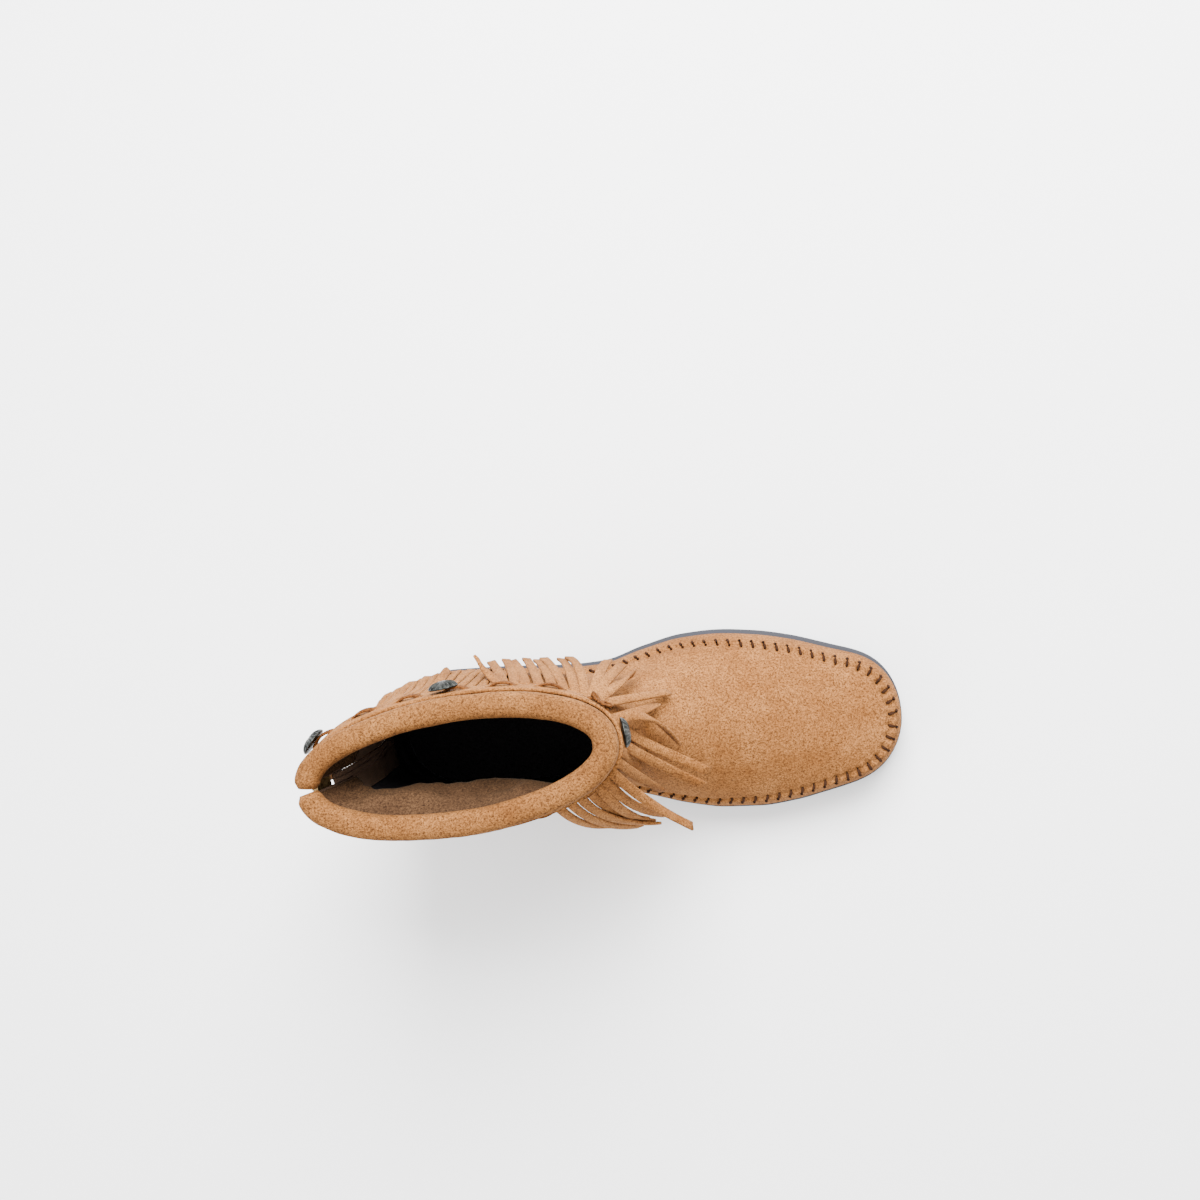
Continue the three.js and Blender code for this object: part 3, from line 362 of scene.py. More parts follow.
lining = lining_cloth()
thread = waxed_thread()
rubber = sole_rubber()
gunmetal = worn_metal("dark_gunmetal", (0.006, 0.007, 0.0065), (0.055, 0.058, 0.054), 0.34)
old_brass = worn_metal("aged_brass", (0.09, 0.055, 0.022), (0.27, 0.18, 0.08), 0.35)
twill = zip_tape()
floor.data.materials.append(studio_paper())
print("finishes made:", len(bpy.data.materials))

# %% [markdown]
# ## The last
# A boot is pulled over a last, a solid foot shape. The CAD model works its surface out from a few
# sizes and tables, and the same sizes and tables are repeated here, so that every dressed piece can
# be laid exactly on that surface but on a much finer grid. A section fans out from the toe's centre,
# passes under the foot to the heel and climbs the back to the collar: that place is u, from 0 to 3.
# Across one section, v runs from the moccasin seam or the back slit, at 0, to the top line, at 1.

# %% Sizes of the boot, in millimetres
SOLE_LENGTH, BALL_WIDTH, HEEL_WIDTH = 260.5, 91, 63
HEEL_THICK, FOREFOOT_THICK, TOE_SPRING, ARCH_RISE = 14, 5.5, 7, 7
ORIGIN_FROM_HEEL, LIP_THICK, LIP_STEP, SOLE_BEVEL = 34.5, 2.4, 1.1, 1
WALL, CLEAR, SEAM_HEIGHT, SEAM_RAISE = 1.8, 0.3, 20, 1.3
INSTEP_HEIGHT, SHAFT_FRONT, SHAFT_BACK = 83, 138, 136
COLLAR_WIDTH, COLLAR_OVERHANG, BACK_HOLLOW = 59.5, 9, 5
TWIST_BACK, TWIST_FRONT = -14, 6
SHELF = (0.8, 2.2, 1.4, 1.6)
PLUG = (4, 6.2, 6.5, 2)
WALL_SWELL = 1.6
ROLL_WIDTH, ROLL_HEIGHT, ROLL_PROUD = 11.5, 11, 1
BAND_DEPTH, BAND_THICK, BAND_DROP, BAND_CLEAR, BAND_FLARE = 15, 1.6, 0.8, 0.5, 4.5
BUTTON_RADIUS, BUTTON_HEIGHT, LACE_THICK = 6.8, 3.4, 1.2
SLIT_WIDTH, SLIT_POINT, ZIP_BOTTOM, ZIP_TOP = 7, 2, 46, 121
TOE_CENTRE, HEEL_CENTRE = 0.86, 0.123
TOE_POWER = {1: 2.15, -1: 1.9}
TOE_TAPER, TOE_SLOPE, BLEND = 0.3, 0.2, 16
GROOVE_WIDTH, GROOVE_DEPTH, GROOVE_PITCH, GROOVE_MARGIN = 2.6, 1.2, 9, 7

HEEL_HALF, BALL_HALF = HEEL_WIDTH / 2, BALL_WIDTH / 2
WIDTHS = [
    {"at": at, 1: outer * of, -1: inner * of}
    for at, outer, inner, of in (
        (0.123, 1.0, 1.0, HEEL_HALF),
        (0.235, 1.02, 0.96, HEEL_HALF),
        (0.34, 1.01, 0.95, HEEL_HALF),
        (0.42, 0.73, 0.71, BALL_HALF),
        (0.5, 0.882, 0.825, BALL_HALF),
        (0.58, 1.0, 0.94, BALL_HALF),
        (0.65, 1.03, 0.99, BALL_HALF),
        (0.72, 1.005, 0.985, BALL_HALF),
        (0.79, 0.94, 0.925, BALL_HALF),
        (0.86, 0.835, 0.815, BALL_HALF),
    )
]
PROFILE = [
    dict(zip(("at", "heel", "arch", "spring"), row))
    for row in (
        (0.0, 1.0, 0.0, 0.0),
        (0.262, 1.0, 0.0, 0.0),
        (0.295, 0.98, 1.0, 0.0),
        (0.36, 0.82, 0.95, 0.0),
        (0.46, 0.4, 0.5, 0.0),
        (0.56, 0.08, 0.0, 0.0),
        (0.62, 0.0, 0.0, 0.0),
        (0.77, 0.0, 0.0, 0.0),
        (0.86, 0.0, 0.0, 0.2),
        (0.94, 0.0, 0.0, 0.58),
        (1.0, 0.0, 0.0, 1.0),
    )
]
COLUMNS = (
    "at", "foot", "rise", "lean", "hollow", "front", "instep", "shaft", "back_twist", "front_twist",
    "wide", "heel_full", "front_full", "crown",
)
SECTIONS = [
    dict(zip(COLUMNS, row))
    for row in (
        (1.0, 1.0, 0, 0, 0.1, 0.86, 0.452, 0, 0, 0, 0, 1, 1, 1.6),
        (1.2, 0.864, 0, 0, 0.1, 0.77, 0.52, 0, 0, 0, 0.1, 1, 1, 1.6),
        (1.4, 0.728, 0, 0, 0.1, 0.68, 0.605, 0, 0, 0.05, 0.4, 1, 1, 1.5),
        (1.55, 0.605, 0, 0, 0.1, 0.618, 0.725, 0, 0, 0.15, 0.65, 1, 1, 1.35),
        (1.7, 0.456, 0, 0, 0.1, 0.575, 0.865, 0, 0, 0.3, 0.82, 0.95, 1, 1.2),
        (1.8, 0.293, 0, 0, 0.1, 0.55, 1.0, 0, 0, 0.42, 0.88, 0.88, 0.98, 1.1),
        (1.88, 0.1, 0, 0, 0.1, 0.537, 0.86, 0.14, 0, 0.48, 0.93, 0.74, 0.96, 1.03),
        (1.92, 0.0, 0, 0, 0.1, 0.532, 0.79, 0.21, 0, 0.52, 0.96, 0.64, 0.95, 1.0),
        (1.955, -0.45, 0, 0, 0.1, 0.529, 0.725, 0.275, 0, 0.545, 0.99, 0.56, 0.945, 1.0),
        (2.0, -1.0, 0, 0, 0.1, 0.525, 0.645, 0.355, 0, 0.58, 1.01, 0.49, 0.94, 1.0),
        (2.25, -1.0, 0.22, 0, 0.35, 0.516, 0.48, 0.52, 0.07, 0.7, 0.995, 0.54, 0.93, 1.0),
        (2.5, -1.0, 0.47, 0, 1.0, 0.513, 0.335, 0.665, 0.28, 0.83, 0.98, 0.65, 0.92, 1.0),
        (2.75, -1.0, 0.74, 0.3, 0.8, 0.517, 0.17, 0.83, 0.64, 0.92, 0.98, 0.75, 0.9, 1.0),
        (3.0, -1.0, 1.0, 1.0, 0, 0.53, 0, 1.0, 1.0, 1.0, 1.0, 0.84, 0.9, 1.0),
    )
]
print("tables:", len(WIDTHS), "widths,", len(PROFILE), "sole heights,", len(SECTIONS), "sections")


# %% Reading the tables
def mix(a, b, t):
    return a + (b - a) * t


def ease(t):
    c = min(1, max(0, t))
    return c * c * (3 - 2 * c)


def read(rows, column, at):
    """The column's value at a place, on a smooth curve that never overshoots the rows."""
    last = len(rows) - 1
    if at <= rows[0]["at"]:
        return rows[0][column]
    if at >= rows[last]["at"]:
        return rows[last][column]
    i = 0
    while rows[i + 1]["at"] < at:
        i += 1

    def slope(k):
        return (rows[k + 1][column] - rows[k][column]) / (rows[k + 1]["at"] - rows[k]["at"])

    def tangent(k):
        if k == 0:
            return slope(0)
        if k == last:
            return slope(last - 1)
        before, after = slope(k - 1), slope(k)
        return 0 if before * after <= 0 else 2 * before * after / (before + after)

    span = rows[i + 1]["at"] - rows[i]["at"]
    t = (at - rows[i]["at"]) / span
    return (
        rows[i][column] * (2 * t**3 - 3 * t**2 + 1)
        + tangent(i) * span * (t**3 - 2 * t**2 + t)
        + rows[i + 1][column] * (3 * t**2 - 2 * t**3)
        + tangent(i + 1) * span * (t**3 - t**2)
    )


print("half width at the ball:", round(read(WIDTHS, 1, 0.65), 1), "mm")


# %% Heights and plan of the sole
def x_of(share):
    return share * SOLE_LENGTH - ORIGIN_FROM_HEEL


def share_of(x):
    return (x + ORIGIN_FROM_HEEL) / SOLE_LENGTH


def sole_top(x):
    s = share_of(x)
    heel = (HEEL_THICK - FOREFOOT_THICK) * read(PROFILE, "heel", s)
    return FOREFOOT_THICK + heel + TOE_SPRING * read(PROFILE, "spring", s)


def sole_bottom(x):
    s = share_of(x)
    return ARCH_RISE * read(PROFILE, "arch", s) + TOE_SPRING * read(PROFILE, "spring", s)


def around(side, u, values):
    """A value given for the toe, the outer side, the inner side and the heel, at place u."""
    toe, outer, inner, heel = values
    flank_value = outer if side > 0 else inner
    return mix(toe, flank_value, ease(u)) if u < 1 else mix(flank_value, heel, ease((u - 1.6) / 0.4))


def plan(side, u, inset):
    """Plan of the sole's outline, moved in by some millimetres."""
    toe_x = x_of(TOE_CENTRE)
    if u <= 1:
        angle = math.pi / 2 * u
        c = max(0, math.cos(angle)) ** (2 / TOE_POWER[side])
        s = max(0, math.sin(angle)) ** (2 / TOE_POWER[side])
        reach = x_of(1) - toe_x - inset
        across = read(WIDTHS, side, TOE_CENTRE) - inset
        return toe_x + reach * c, side * (across - TOE_TAPER * reach * c * (1 - c) ** 2) * s
    foot = read(SECTIONS, "foot", u)
    if foot >= 0:
        share = mix(HEEL_CENTRE, TOE_CENTRE, foot)
        return x_of(share), side * (read(WIDTHS, side, share) - inset)
    angle = math.pi / 2 * (1 + foot)
    reach = HEEL_CENTRE * SOLE_LENGTH - inset
    across = read(WIDTHS, side, HEEL_CENTRE) - inset
    return x_of(HEEL_CENTRE) - reach * math.cos(angle), side * across * math.sin(angle)


def seam_height(x, u):
    return sole_top(x) + SEAM_HEIGHT * mix(0.76, 1, ease(u / 1.2)) * mix(1, 0.9, ease((u - 1.7) / 0.3))


def back_height(u):
    return mix(seam_height(x_of(0), 2), SHAFT_BACK, read(SECTIONS, "rise", u))


def slit_half(u):
    if u <= 2:
        return 0
    return SLIT_WIDTH / 2 * min(1, max(0, (back_height(u) - ZIP_BOTTOM) / SLIT_POINT))


print("seam height at the heel:", round(seam_height(x_of(0), 2), 1), "mm")


# %% One section of the last, and a point on it
@lru_cache(maxsize=None)
def section(side, u):
    """Start and end of one half section, its sideways direction, and how wide and full it is."""
    row = {name: read(SECTIONS, name, u) for name in COLUMNS[1:]}
    at = min(u, 2)
    seam_x, seam_y = plan(side, at, around(side, at, PLUG))
    if u < 1:
        base = Vector((x_of(TOE_CENTRE), 0, seam_height(seam_x, u)))
        top = Vector((base.x, 0, INSTEP_HEIGHT * row["instep"]))
        out = Vector((seam_x - base.x, seam_y, 0))
        return base, top, out.normalized(), out.length, out.length, 1, 1, row["crown"]
    lift = back_height(u) if u > 2 else seam_height(seam_x, u)
    shift = BACK_HOLLOW * (row["hollow"] - 0.1) - COLLAR_OVERHANG * row["lean"] if u > 2 else 0
    base = Vector((seam_x + shift, TWIST_BACK * row["back_twist"], lift))
    top_z = INSTEP_HEIGHT * row["instep"] + SHAFT_FRONT * row["shaft"]
    top = Vector((x_of(row["front"]), TWIST_FRONT * row["front_twist"], top_z))
    along = (top - base).normalized()
    out = (Vector((0, 1, 0)) - along * along.y).normalized() * side
    start = slit_half(u) if u > 2 else abs(seam_y)
    broad = COLLAR_WIDTH / 2 * row["wide"]
    wide = (start**BLEND + broad**BLEND) ** (1 / BLEND)
    return base, top, out, start, wide, row["heel_full"], row["front_full"], row["crown"]


def skin(side, u, v):
    """A point of the last's surface."""
    base, top, out, start, wide, back, front, crown = section(side, u)
    first = math.asin(min(1, (start / wide) ** (1 / back)))
    angle = mix(first, math.pi, v)
    rise = (math.cos(first) - math.cos(angle)) / (1 + math.cos(first))
    across = 0 if v >= 1 else wide * max(0, math.sin(angle)) ** mix(back, front, v * v)
    lift = max(0, rise) ** crown
    point = base.lerp(top, lift) + out * across
    if u < 1:
        point.z -= TOE_SLOPE * out.x * (across - wide * (1 - lift))
    return point


def skin_normal(side, u, v):
    """The outward direction there."""
    along = skin(side, min(3, u + 0.01), v) - skin(side, u - 0.01, v)
    across = skin(side, u, min(0.9999, v + 0.01)) - skin(side, u, max(0.001, v - 0.01))
    return along.cross(across).normalized() * side


def flank(side, u, w):
    """A point of the side wall below the seam: w is 0 on the sole and 1 at the seam."""
    inset = around(side, u, SHELF)
    foot_x, foot_y = plan(side, u, inset)
    swell_x, swell_y = plan(side, u, inset - WALL_SWELL)
    low = Vector((foot_x, foot_y, sole_top(foot_x) + CLEAR))
    bulge = math.sin(math.pi * min(1, w * 1.1)) if w < 0.95 else 0
    point = low.lerp(skin(side, u, 0), w)
    return point + Vector(((swell_x - foot_x) * bulge, (swell_y - foot_y) * bulge, 0))


print("top of the collar's front edge:", [round(c, 1) for c in skin(1, 3, 1)])

# %% [markdown]
# ## From points to pieces
# A leather piece is a thin slab that follows a surface. Blender can thicken a sheet with a modifier,
# but here the slab is made point by point: the grid's points are moved out and in along the surface's
# normal, and the open edges are closed, so slots can be cut simply by leaving faces out. Tubes for
# thread, lace and strips are rings of points along a line.


# %% Making one object
def piece(name, points, faces, finishes, body="boot", stands_for=(), which=None):
    """A smooth mesh object from points in millimetres. which gives each face's finish."""
    data = bpy.data.meshes.new(name)
    data.from_pydata([tuple(c / 1000 for c in p) for p in points], [], faces)
    for finish in finishes:
        data.materials.append(finish)
    if which is not None:
        data.polygons.foreach_set("material_index", which)
    data.polygons.foreach_set("use_smooth", [True] * len(faces))
    data.update()
    made = bpy.data.objects.new(name, data)
    bpy.context.scene.collection.objects.link(made)
    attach(made, body)
    if stands_for:
        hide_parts(*stands_for)
    print(f"{name}: {len(points)} points, {len(faces)} faces")
    return made


def slab(patches, outer, inner, calm=None):
    """Points and faces of a slab between two offsets of a surface.

    A patch is rows of (point, raise), whether it is turned over, and the faces to leave out. calm
    gives, for a point, how far it is drawn to the middle of its neighbours, from 0 to 1. The faces
    come back in three runs: outer, inner and edge."""
    index, places, raised = {}, [], []

    def find(item):
        point, lift = item
        key = (round(point[0] * 200), round(point[1] * 200), round(point[2] * 200))
        if key not in index:
            index[key] = len(places)
            places.append(tuple(point))
            raised.append(lift)
        return index[key]

    quads = []
    for rows, turned, left_out in patches:
        ids = [[find(item) for item in row] for row in rows]
        for i in range(len(ids) - 1):
            for j in range(len(ids[0]) - 1):
                if (i, j) in left_out:
                    continue
                ring = [ids[i][j], ids[i + 1][j], ids[i + 1][j + 1], ids[i][j + 1]]
                if turned:
                    ring.reverse()
                ring = [a for k, a in enumerate(ring) if a != ring[k - 1]]
                if len(set(ring)) >= 3:
                    quads.append(ring)
    where = np.array(places)
    if calm:
        pairs = np.array([(a, ring[k - 1]) for ring in quads for k, a in enumerate(ring)])
        once = {}
        for a, b in pairs:
            once[(min(a, b), max(a, b))] = once.get((min(a, b), max(a, b)), 0) + 1
        weight = np.array([calm(p) for p in where])
        for (a, b), count in once.items():
            if count == 1:
                weight[a] = weight[b] = 0
        links = np.vstack([pairs, pairs[:, ::-1]])
        degree = np.bincount(links[:, 0], minlength=len(where))[:, None]
        for _ in range(25):
            total = np.zeros_like(where)
            np.add.at(total, links[:, 0], where[links[:, 1]])
            where += (total / degree - where) * weight[:, None]
    normals = np.zeros_like(where)
    for ring in quads:
        a, b, c = where[ring[0]], where[ring[1]], where[ring[2]]
        n = np.cross(b - a, c - a)
        if len(ring) == 4:
            d = where[ring[3]]
            n = np.cross(c - a, d - b)
        for k in ring:
            normals[k] += n
    normals /= np.maximum(np.linalg.norm(normals, axis=1), 1e-9)[:, None]
    lift = outer + np.array(raised)
    points = np.vstack([where + normals * lift[:, None], where + normals * inner])
    count = len(where)
    inner_faces = [[k + count for k in reversed(ring)] for ring in quads]
    loose = {}
    for ring in quads:
        for k, a in enumerate(ring):
            b = ring[(k + 1) % len(ring)]
            if (b, a) in loose:
                del loose[(b, a)]
            else:
                loose[(a, b)] = True
    edge_faces = [[b, a, a + count, b + count] for a, b in loose]
    return points, quads, inner_faces, edge_faces


def tube(rings):
    """Points and faces through rings of points, closed at both ends."""
    n = len(rings[0])
    points = [p for ring in rings for p in ring]
    faces = []
    for i in range(len(rings) - 1):
        for j in range(n):
            k = (j + 1) % n
            faces.append([i * n + j, i * n + k, (i + 1) * n + k, (i + 1) * n + j])
    faces.append(list(range(n))[::-1])
    faces.append([(len(rings) - 1) * n + j for j in range(n)])
    return points, faces


def soft_square(count, power):
    """Places round a unit circle, pushed towards a square when the power is below 1."""
    angles = [2 * math.pi * j / count for j in range(count)]
    return [
        tuple(math.copysign(abs(w) ** power, w) for w in (math.cos(a), math.sin(a))) for a in angles
    ]


def gather(parts):
    """Several lists of points and faces as one."""
    points, faces = [], []
    for p, f in parts:
        start = len(points)
        points.extend(p)
        faces.extend([[k + start for k in ring] for ring in f])
    return points, faces


def wave_noise(point, size, seed=0.0):
    """Smooth noise from -1 to 1 whose lumps are that many millimetres across."""
    return noise.noise(Vector((point[0] / size + seed, point[1] / size - seed, point[2] / size + 2 * seed)))


print("helpers ready")

# %% [markdown]
# ## The upper
# The upper is suede over a soft lining, 1.8 mm in all. The toe piece, or plug, is sewn to the wall
# with a raised whipped seam, so a ridge runs round it, and each stitch pulls a small gather into the
# wall. Where the foot bends there are shallow folds, and the empty shaft has soft dents. Cloth
# simulation would drape it, but a moccasin's form comes from its last, so the folds are given as
# gentle pushes along the surface's normal, each with a place, a direction and a width.

# %% Distance along the seam
STITCH_PITCH, STITCH_REACH = 6.0, 2.7
SEAM_END = 1.9


def seam_table(side):
    """Place u and the distance from the toe along the seam, in small steps."""
    us = np.linspace(0, SEAM_END, 500)
    places = np.array([skin(side, float(u), 0) for u in us])
    run = np.concatenate([[0], np.cumsum(np.linalg.norm(np.diff(places, axis=0), axis=1))])
    return us, run


seam_runs = {side: seam_table(side) for side in (1, -1)}
print("seam length in mm:", {side: round(float(run[-1])) for side, (_, run) in seam_runs.items()})


def seam_run(side, u):
    us, run = seam_runs[side]
    return float(np.interp(u, us, run))


# %% Folds and dents
FOLDS = [
    # place, direction along the fold, half length, half width, depth
    ((132, 12, 55), (0.25, 1.0, -0.2), 30, 7.0, -0.9),
    ((118, -4, 64), (0.2, 1.0, 0.1), 26, 6.0, -0.9),
    ((106, 8, 78), (-0.1, 1.0, 0.0), 24, 6.5, -1.1),
    ((86, 30, 45), (1.0, 0.25, -0.5), 26, 6.0, -0.8),
    ((84, -28, 44), (1.0, -0.25, -0.5), 26, 6.0, -0.8),
    ((60, 29, 58), (1.0, 0.0, 0.45), 30, 8.0, 0.8),
    ((48, -28, 56), (1.0, 0.0, 0.5), 30, 8.0, 0.8),
    ((-30, 2, 52), (0.0, 1.0, 0.1), 22, 6.0, -0.8),
    ((-26, 0, 66), (0.0, 1.0, -0.15), 20, 5.0, 0.6),
    ((112, 34, 34), (1.0, 0.35, 0.1), 16, 5.0, 0.6),
]


def fold_push(point):
    """How far the folds and the soft dents move a point outward."""
    push = 0.0
    for place, direction, half_length, half_width, depth in FOLDS:
        away = Vector(point) - Vector(place)
        if away.length > 2 * half_length:
            continue
        line = Vector(direction).normalized()
        along = away.dot(line)
        beside = (away - line * along).length
        push += depth * math.exp(-((along / half_length) ** 2) - (beside / half_width) ** 2)
    soft = wave_noise(point, 34, 3.1) * 0.5 + wave_noise(point, 15, 7.7) * 0.25
    return push + soft * ease((point[2] - 12) / 20)


print("folds:", len(FOLDS))


# %% Build the upper
def ridge(side, u, away):
    """Height of the seam's ridge at a distance from it, with a dip at each stitch."""
    if u > SEAM_END:
        return 0.0
    fade = ease((SEAM_END - u) / 0.15)
    beat = math.cos(2 * math.pi * seam_run(side, u) / STITCH_PITCH)
    top = (SEAM_RAISE - 0.25 + 0.3 * beat) * math.exp(-((away / 1.15) ** 2))
    gather_strength = 0.42 * ease((1.5 - u) / 0.6) + 0.12
    pull = gather_strength * beat * math.exp(-((away - 3.0) / 3.2) ** 2)
    trough = -0.35 * math.exp(-((away - 2.6) / 0.9) ** 2)
    return fade * (top + pull + trough)


def back_place(z):
    """Place u whose back line is at a height."""
    low, high = 2.0, 3.0
    for _ in range(40):
        u = (low + high) / 2
        if back_height(u) < z:
            low = u
        else:
            high = u
    return (low + high) / 2


def spread(start, end, count):
    return [float(u) for u in np.linspace(start, end, count + 1)]


toe_places = spread(0, 1, 44)
foot_places = spread(1, 1.55, 40)[1:] + spread(1.55, 1.92, 40)[1:] + spread(1.92, 2, 22)[1:]
slit_places = [back_place(ZIP_BOTTOM), back_place(ZIP_BOTTOM + SLIT_POINT)]
back_places = spread(2, slit_places[0], 8)[1:] + [slit_places[1]] + spread(slit_places[1], 3, 38)[1:]
low_places = toe_places + foot_places
across_places = [0, 0.006, 0.012, 0.019, 0.027, 0.038, 0.052] + spread(0.07, 1, 50)
wall_places = [0, 0.08, 0.18, 0.3, 0.42, 0.54, 0.64, 0.73, 0.81, 0.88, 0.93, 0.965, 1]


def heel_calm(p):
    """The heel has no seam: there the side wall and the back run into each other."""
    return 0.8 * ease((0 - p[0]) / 14) * ease((p[2] - 19) / 6) * ease((64 - p[2]) / 14)


def build_upper():
    patches = []
    for side in (1, -1):
        wall_rows = []
        for u in low_places:
            height = (skin(side, u, 0) - flank(side, u, 0)).length
            row = []
            for w in wall_places:
                point = skin(side, u, 0) if w == 1 else flank(side, u, w)
                row.append((point, ridge(side, u, (1 - w) * height) + 0.6 * w * fold_push(point)))
            wall_rows.append(row)
        patches.append((wall_rows, side < 0, ()))
        top_rows = []
        for u in low_places + back_places:
            points = [skin(side, u, v) for v in across_places]
            away, row = 0.0, []
            for k, point in enumerate(points):
                away += (point - points[k - 1]).length if k else 0
                lift = ridge(side, u, away) if u <= 2 else 0
                share = 0.6 if k == 0 and u <= 2 else 1
                row.append((point, lift + share * fold_push(point) * ease((3 - u) / 0.1)))
            top_rows.append(row)
        patches.append((top_rows, side < 0, ()))
    points, outer_faces, inner_faces, edge_faces = slab(patches, 0, -WALL, calm=heel_calm)
    faces = outer_faces + inner_faces + edge_faces
    which = [0] * len(outer_faces) + [1] * len(inner_faces) + [0] * len(edge_faces)
    return piece(
        "upper_suede", points, faces, [sand, lining], stands_for=("upper",), which=which
    )


build_upper()

# %% [markdown]
# ## The whipped seam
# A moccasin's plug is whipped on by hand: the waxed thread comes up through the plug, goes over the
# ridge and down into the wall, again and again. Each stitch is a short bent tube from one side of the
# ridge to the other, every 6 mm, leaning a little.


# %% Sew the plug on
THREAD_RADIUS, THREAD_SIDES = 0.72, 6


def thread_tube(path):
    """A round thread through some points."""
    rings = []
    for k, point in enumerate(path):
        ahead = path[min(k + 1, len(path) - 1)] - path[max(k - 1, 0)]
        ahead.normalize()
        first = ahead.orthogonal().normalized()
        second = ahead.cross(first)
        thin = 0.65 if k in (0, len(path) - 1) else 1
        rings.append([
            point + (first * math.cos(a) + second * math.sin(a)) * THREAD_RADIUS * thin
            for a in (2 * math.pi * j / THREAD_SIDES for j in range(THREAD_SIDES))
        ])
    return tube(rings)


def whip_stitches(side):
    us, run = seam_runs[side]
    made = []
    count = int((run[-1] - 8) / STITCH_PITCH)
    for k in range(count):
        at = (k + 0.5) * STITCH_PITCH
        u = float(np.interp(at, run, us))
        lean = float(np.interp(at + 1.1, run, us))
        v = 0.004
        while (skin(side, u, v) - skin(side, u, 0)).length < STITCH_REACH:
            v += 0.002
        on_plug = skin(side, u, v)
        plug_out = skin_normal(side, u, v)
        crest = skin(side, mix(u, lean, 0.5), 0)
        height = (skin(side, lean, 0) - flank(side, lean, 0)).length
        on_wall = flank(side, lean, 1 - STITCH_REACH / height)
        level = Vector((*plan(side, lean, 0), 0)) - Vector((*plan(side, lean, 4), 0))
        wall_out = level.normalized()
        crest_out = (plug_out + wall_out).normalized()
        path = [
            on_plug - plug_out * 0.5,
            on_plug + plug_out * 0.45,
            on_plug.lerp(crest, 0.6) + (plug_out * 0.5 + crest_out * 0.6).normalized() * 1.25,
            crest + crest_out * 1.55,
            crest.lerp(on_wall, 0.5) + (wall_out * 0.7 + crest_out * 0.4).normalized() * 1.1,
            on_wall + wall_out * 0.35,
            on_wall - wall_out * 0.5,
        ]
        made.append(thread_tube(path))
    return made


stitch_points, stitch_faces = gather(whip_stitches(1) + whip_stitches(-1))
piece("whip_stitches", stitch_points, stitch_faces, [thread])

# %% [markdown]
# ## The sole
# The sole is one moulding: a thin lip that shows round the upper, a side wall, and a tread cut by a
# few cross grooves. Its outline is the plan of the last again. The rounded edges are extra rings, so
# light runs along them, which a sharp edge wouldn't catch.


# %% Mould the sole
def build_sole():
    places = low_places
    loop = [(1, u) for u in places] + [(-1, u) for u in reversed(places[1:-1])]
    levels = [
        (0.55, lambda x: sole_top(x) + 0.02),
        (0.12, lambda x: sole_top(x) - 0.18),
        (0.0, lambda x: sole_top(x) - 0.6),
        (0.0, lambda x: sole_top(x) - LIP_THICK + 0.4),
        (0.25, lambda x: sole_top(x) - LIP_THICK),
        (LIP_STEP, lambda x: sole_top(x) - LIP_THICK - LIP_STEP * 0.4),
        (LIP_STEP + 0.15, lambda x: sole_top(x) - LIP_THICK - LIP_STEP),
        (LIP_STEP, lambda x: mix(sole_bottom(x), sole_top(x) - LIP_THICK - LIP_STEP, 0.5)),
        (LIP_STEP, lambda x: sole_bottom(x) + SOLE_BEVEL),
        (LIP_STEP + 0.3 * SOLE_BEVEL, lambda x: sole_bottom(x) + 0.3 * SOLE_BEVEL),
        (LIP_STEP + SOLE_BEVEL, lambda x: sole_bottom(x)),
    ]
    rings = []
    for inset, height in levels:
        ring = []
        for side, u in loop:
            x, y = plan(side, u, inset)
            ring.append(Vector((x, y, height(x))))
        rings.append(ring)
    n = len(loop)
    points, faces = [p for ring in rings for p in ring], []
    for i in range(len(rings) - 1):
        for j in range(n):
            k = (j + 1) % n
            faces.append([i * n + j, (i + 1) * n + j, (i + 1) * n + k, i * n + k])
    half = len(places)
    for i in range(half - 1):
        a, b = i, i + 1
        c, d = (n - i - 1) % n, (n - i) % n
        faces.append(list(dict.fromkeys((a, b, c, d))))
    return points, faces, rings[-1], half, n


def groove_depth(x, y):
    """How deep the tread's cross grooves are at a place."""
    ball = [x_of(0.6) + k * GROOVE_PITCH for k in range(5)]
    heel = [k * GROOVE_PITCH for k in (-1.5, -0.5, 0.5, 1.5)]
    near = min(abs(x - s) for s in ball + heel)
    side = 1 if y > 0 else -1
    room = read(WIDTHS, side, share_of(x)) - GROOVE_MARGIN - abs(y)
    return GROOVE_DEPTH * ease((GROOVE_WIDTH / 2 + 0.3 - near) / 0.6) * ease(room / 0.8)


def tread_patch(edge, half, n, start):
    """The underside between the two edges of the sole, in rows across.

    At the heel the rows are too far apart: one of its four grooves is missing and one is too wide."""
    columns = 22
    points, faces = [], []
    for i in range(half):
        left, right = edge[i], edge[(n - i) % n]
        for j in range(columns + 1):
            p = left.lerp(right, j / columns)
            deep = groove_depth(p.x, p.y) if 0 < j < columns else 0
            points.append(Vector((p.x, p.y, p.z + deep)))
    for i in range(half - 1):
        for j in range(columns):
            a = start + i * (columns + 1) + j
            faces.append([a, a + 1, a + columns + 2, a + columns + 1])
    return points, faces


sole_points, sole_faces, sole_edge, sole_half, sole_count = build_sole()
tread_points, tread_faces = tread_patch(sole_edge, sole_half, sole_count, len(sole_points))
piece(
    "sole_rubber_moulding", sole_points + tread_points, sole_faces + tread_faces, [rubber],
    stands_for=("outsole",),
)

# %% [markdown]
# ## Round the shaft
# The band, the lace, the fringe and the facing inside all go round the shaft at some depth below its
# top edge. So one map is made first: at a distance along the ring and a depth below the edge it gives
# the point on the surface and the outward direction. The ring starts at the zip on the outer side,
# passes over the front and ends at the zip on the inner side.

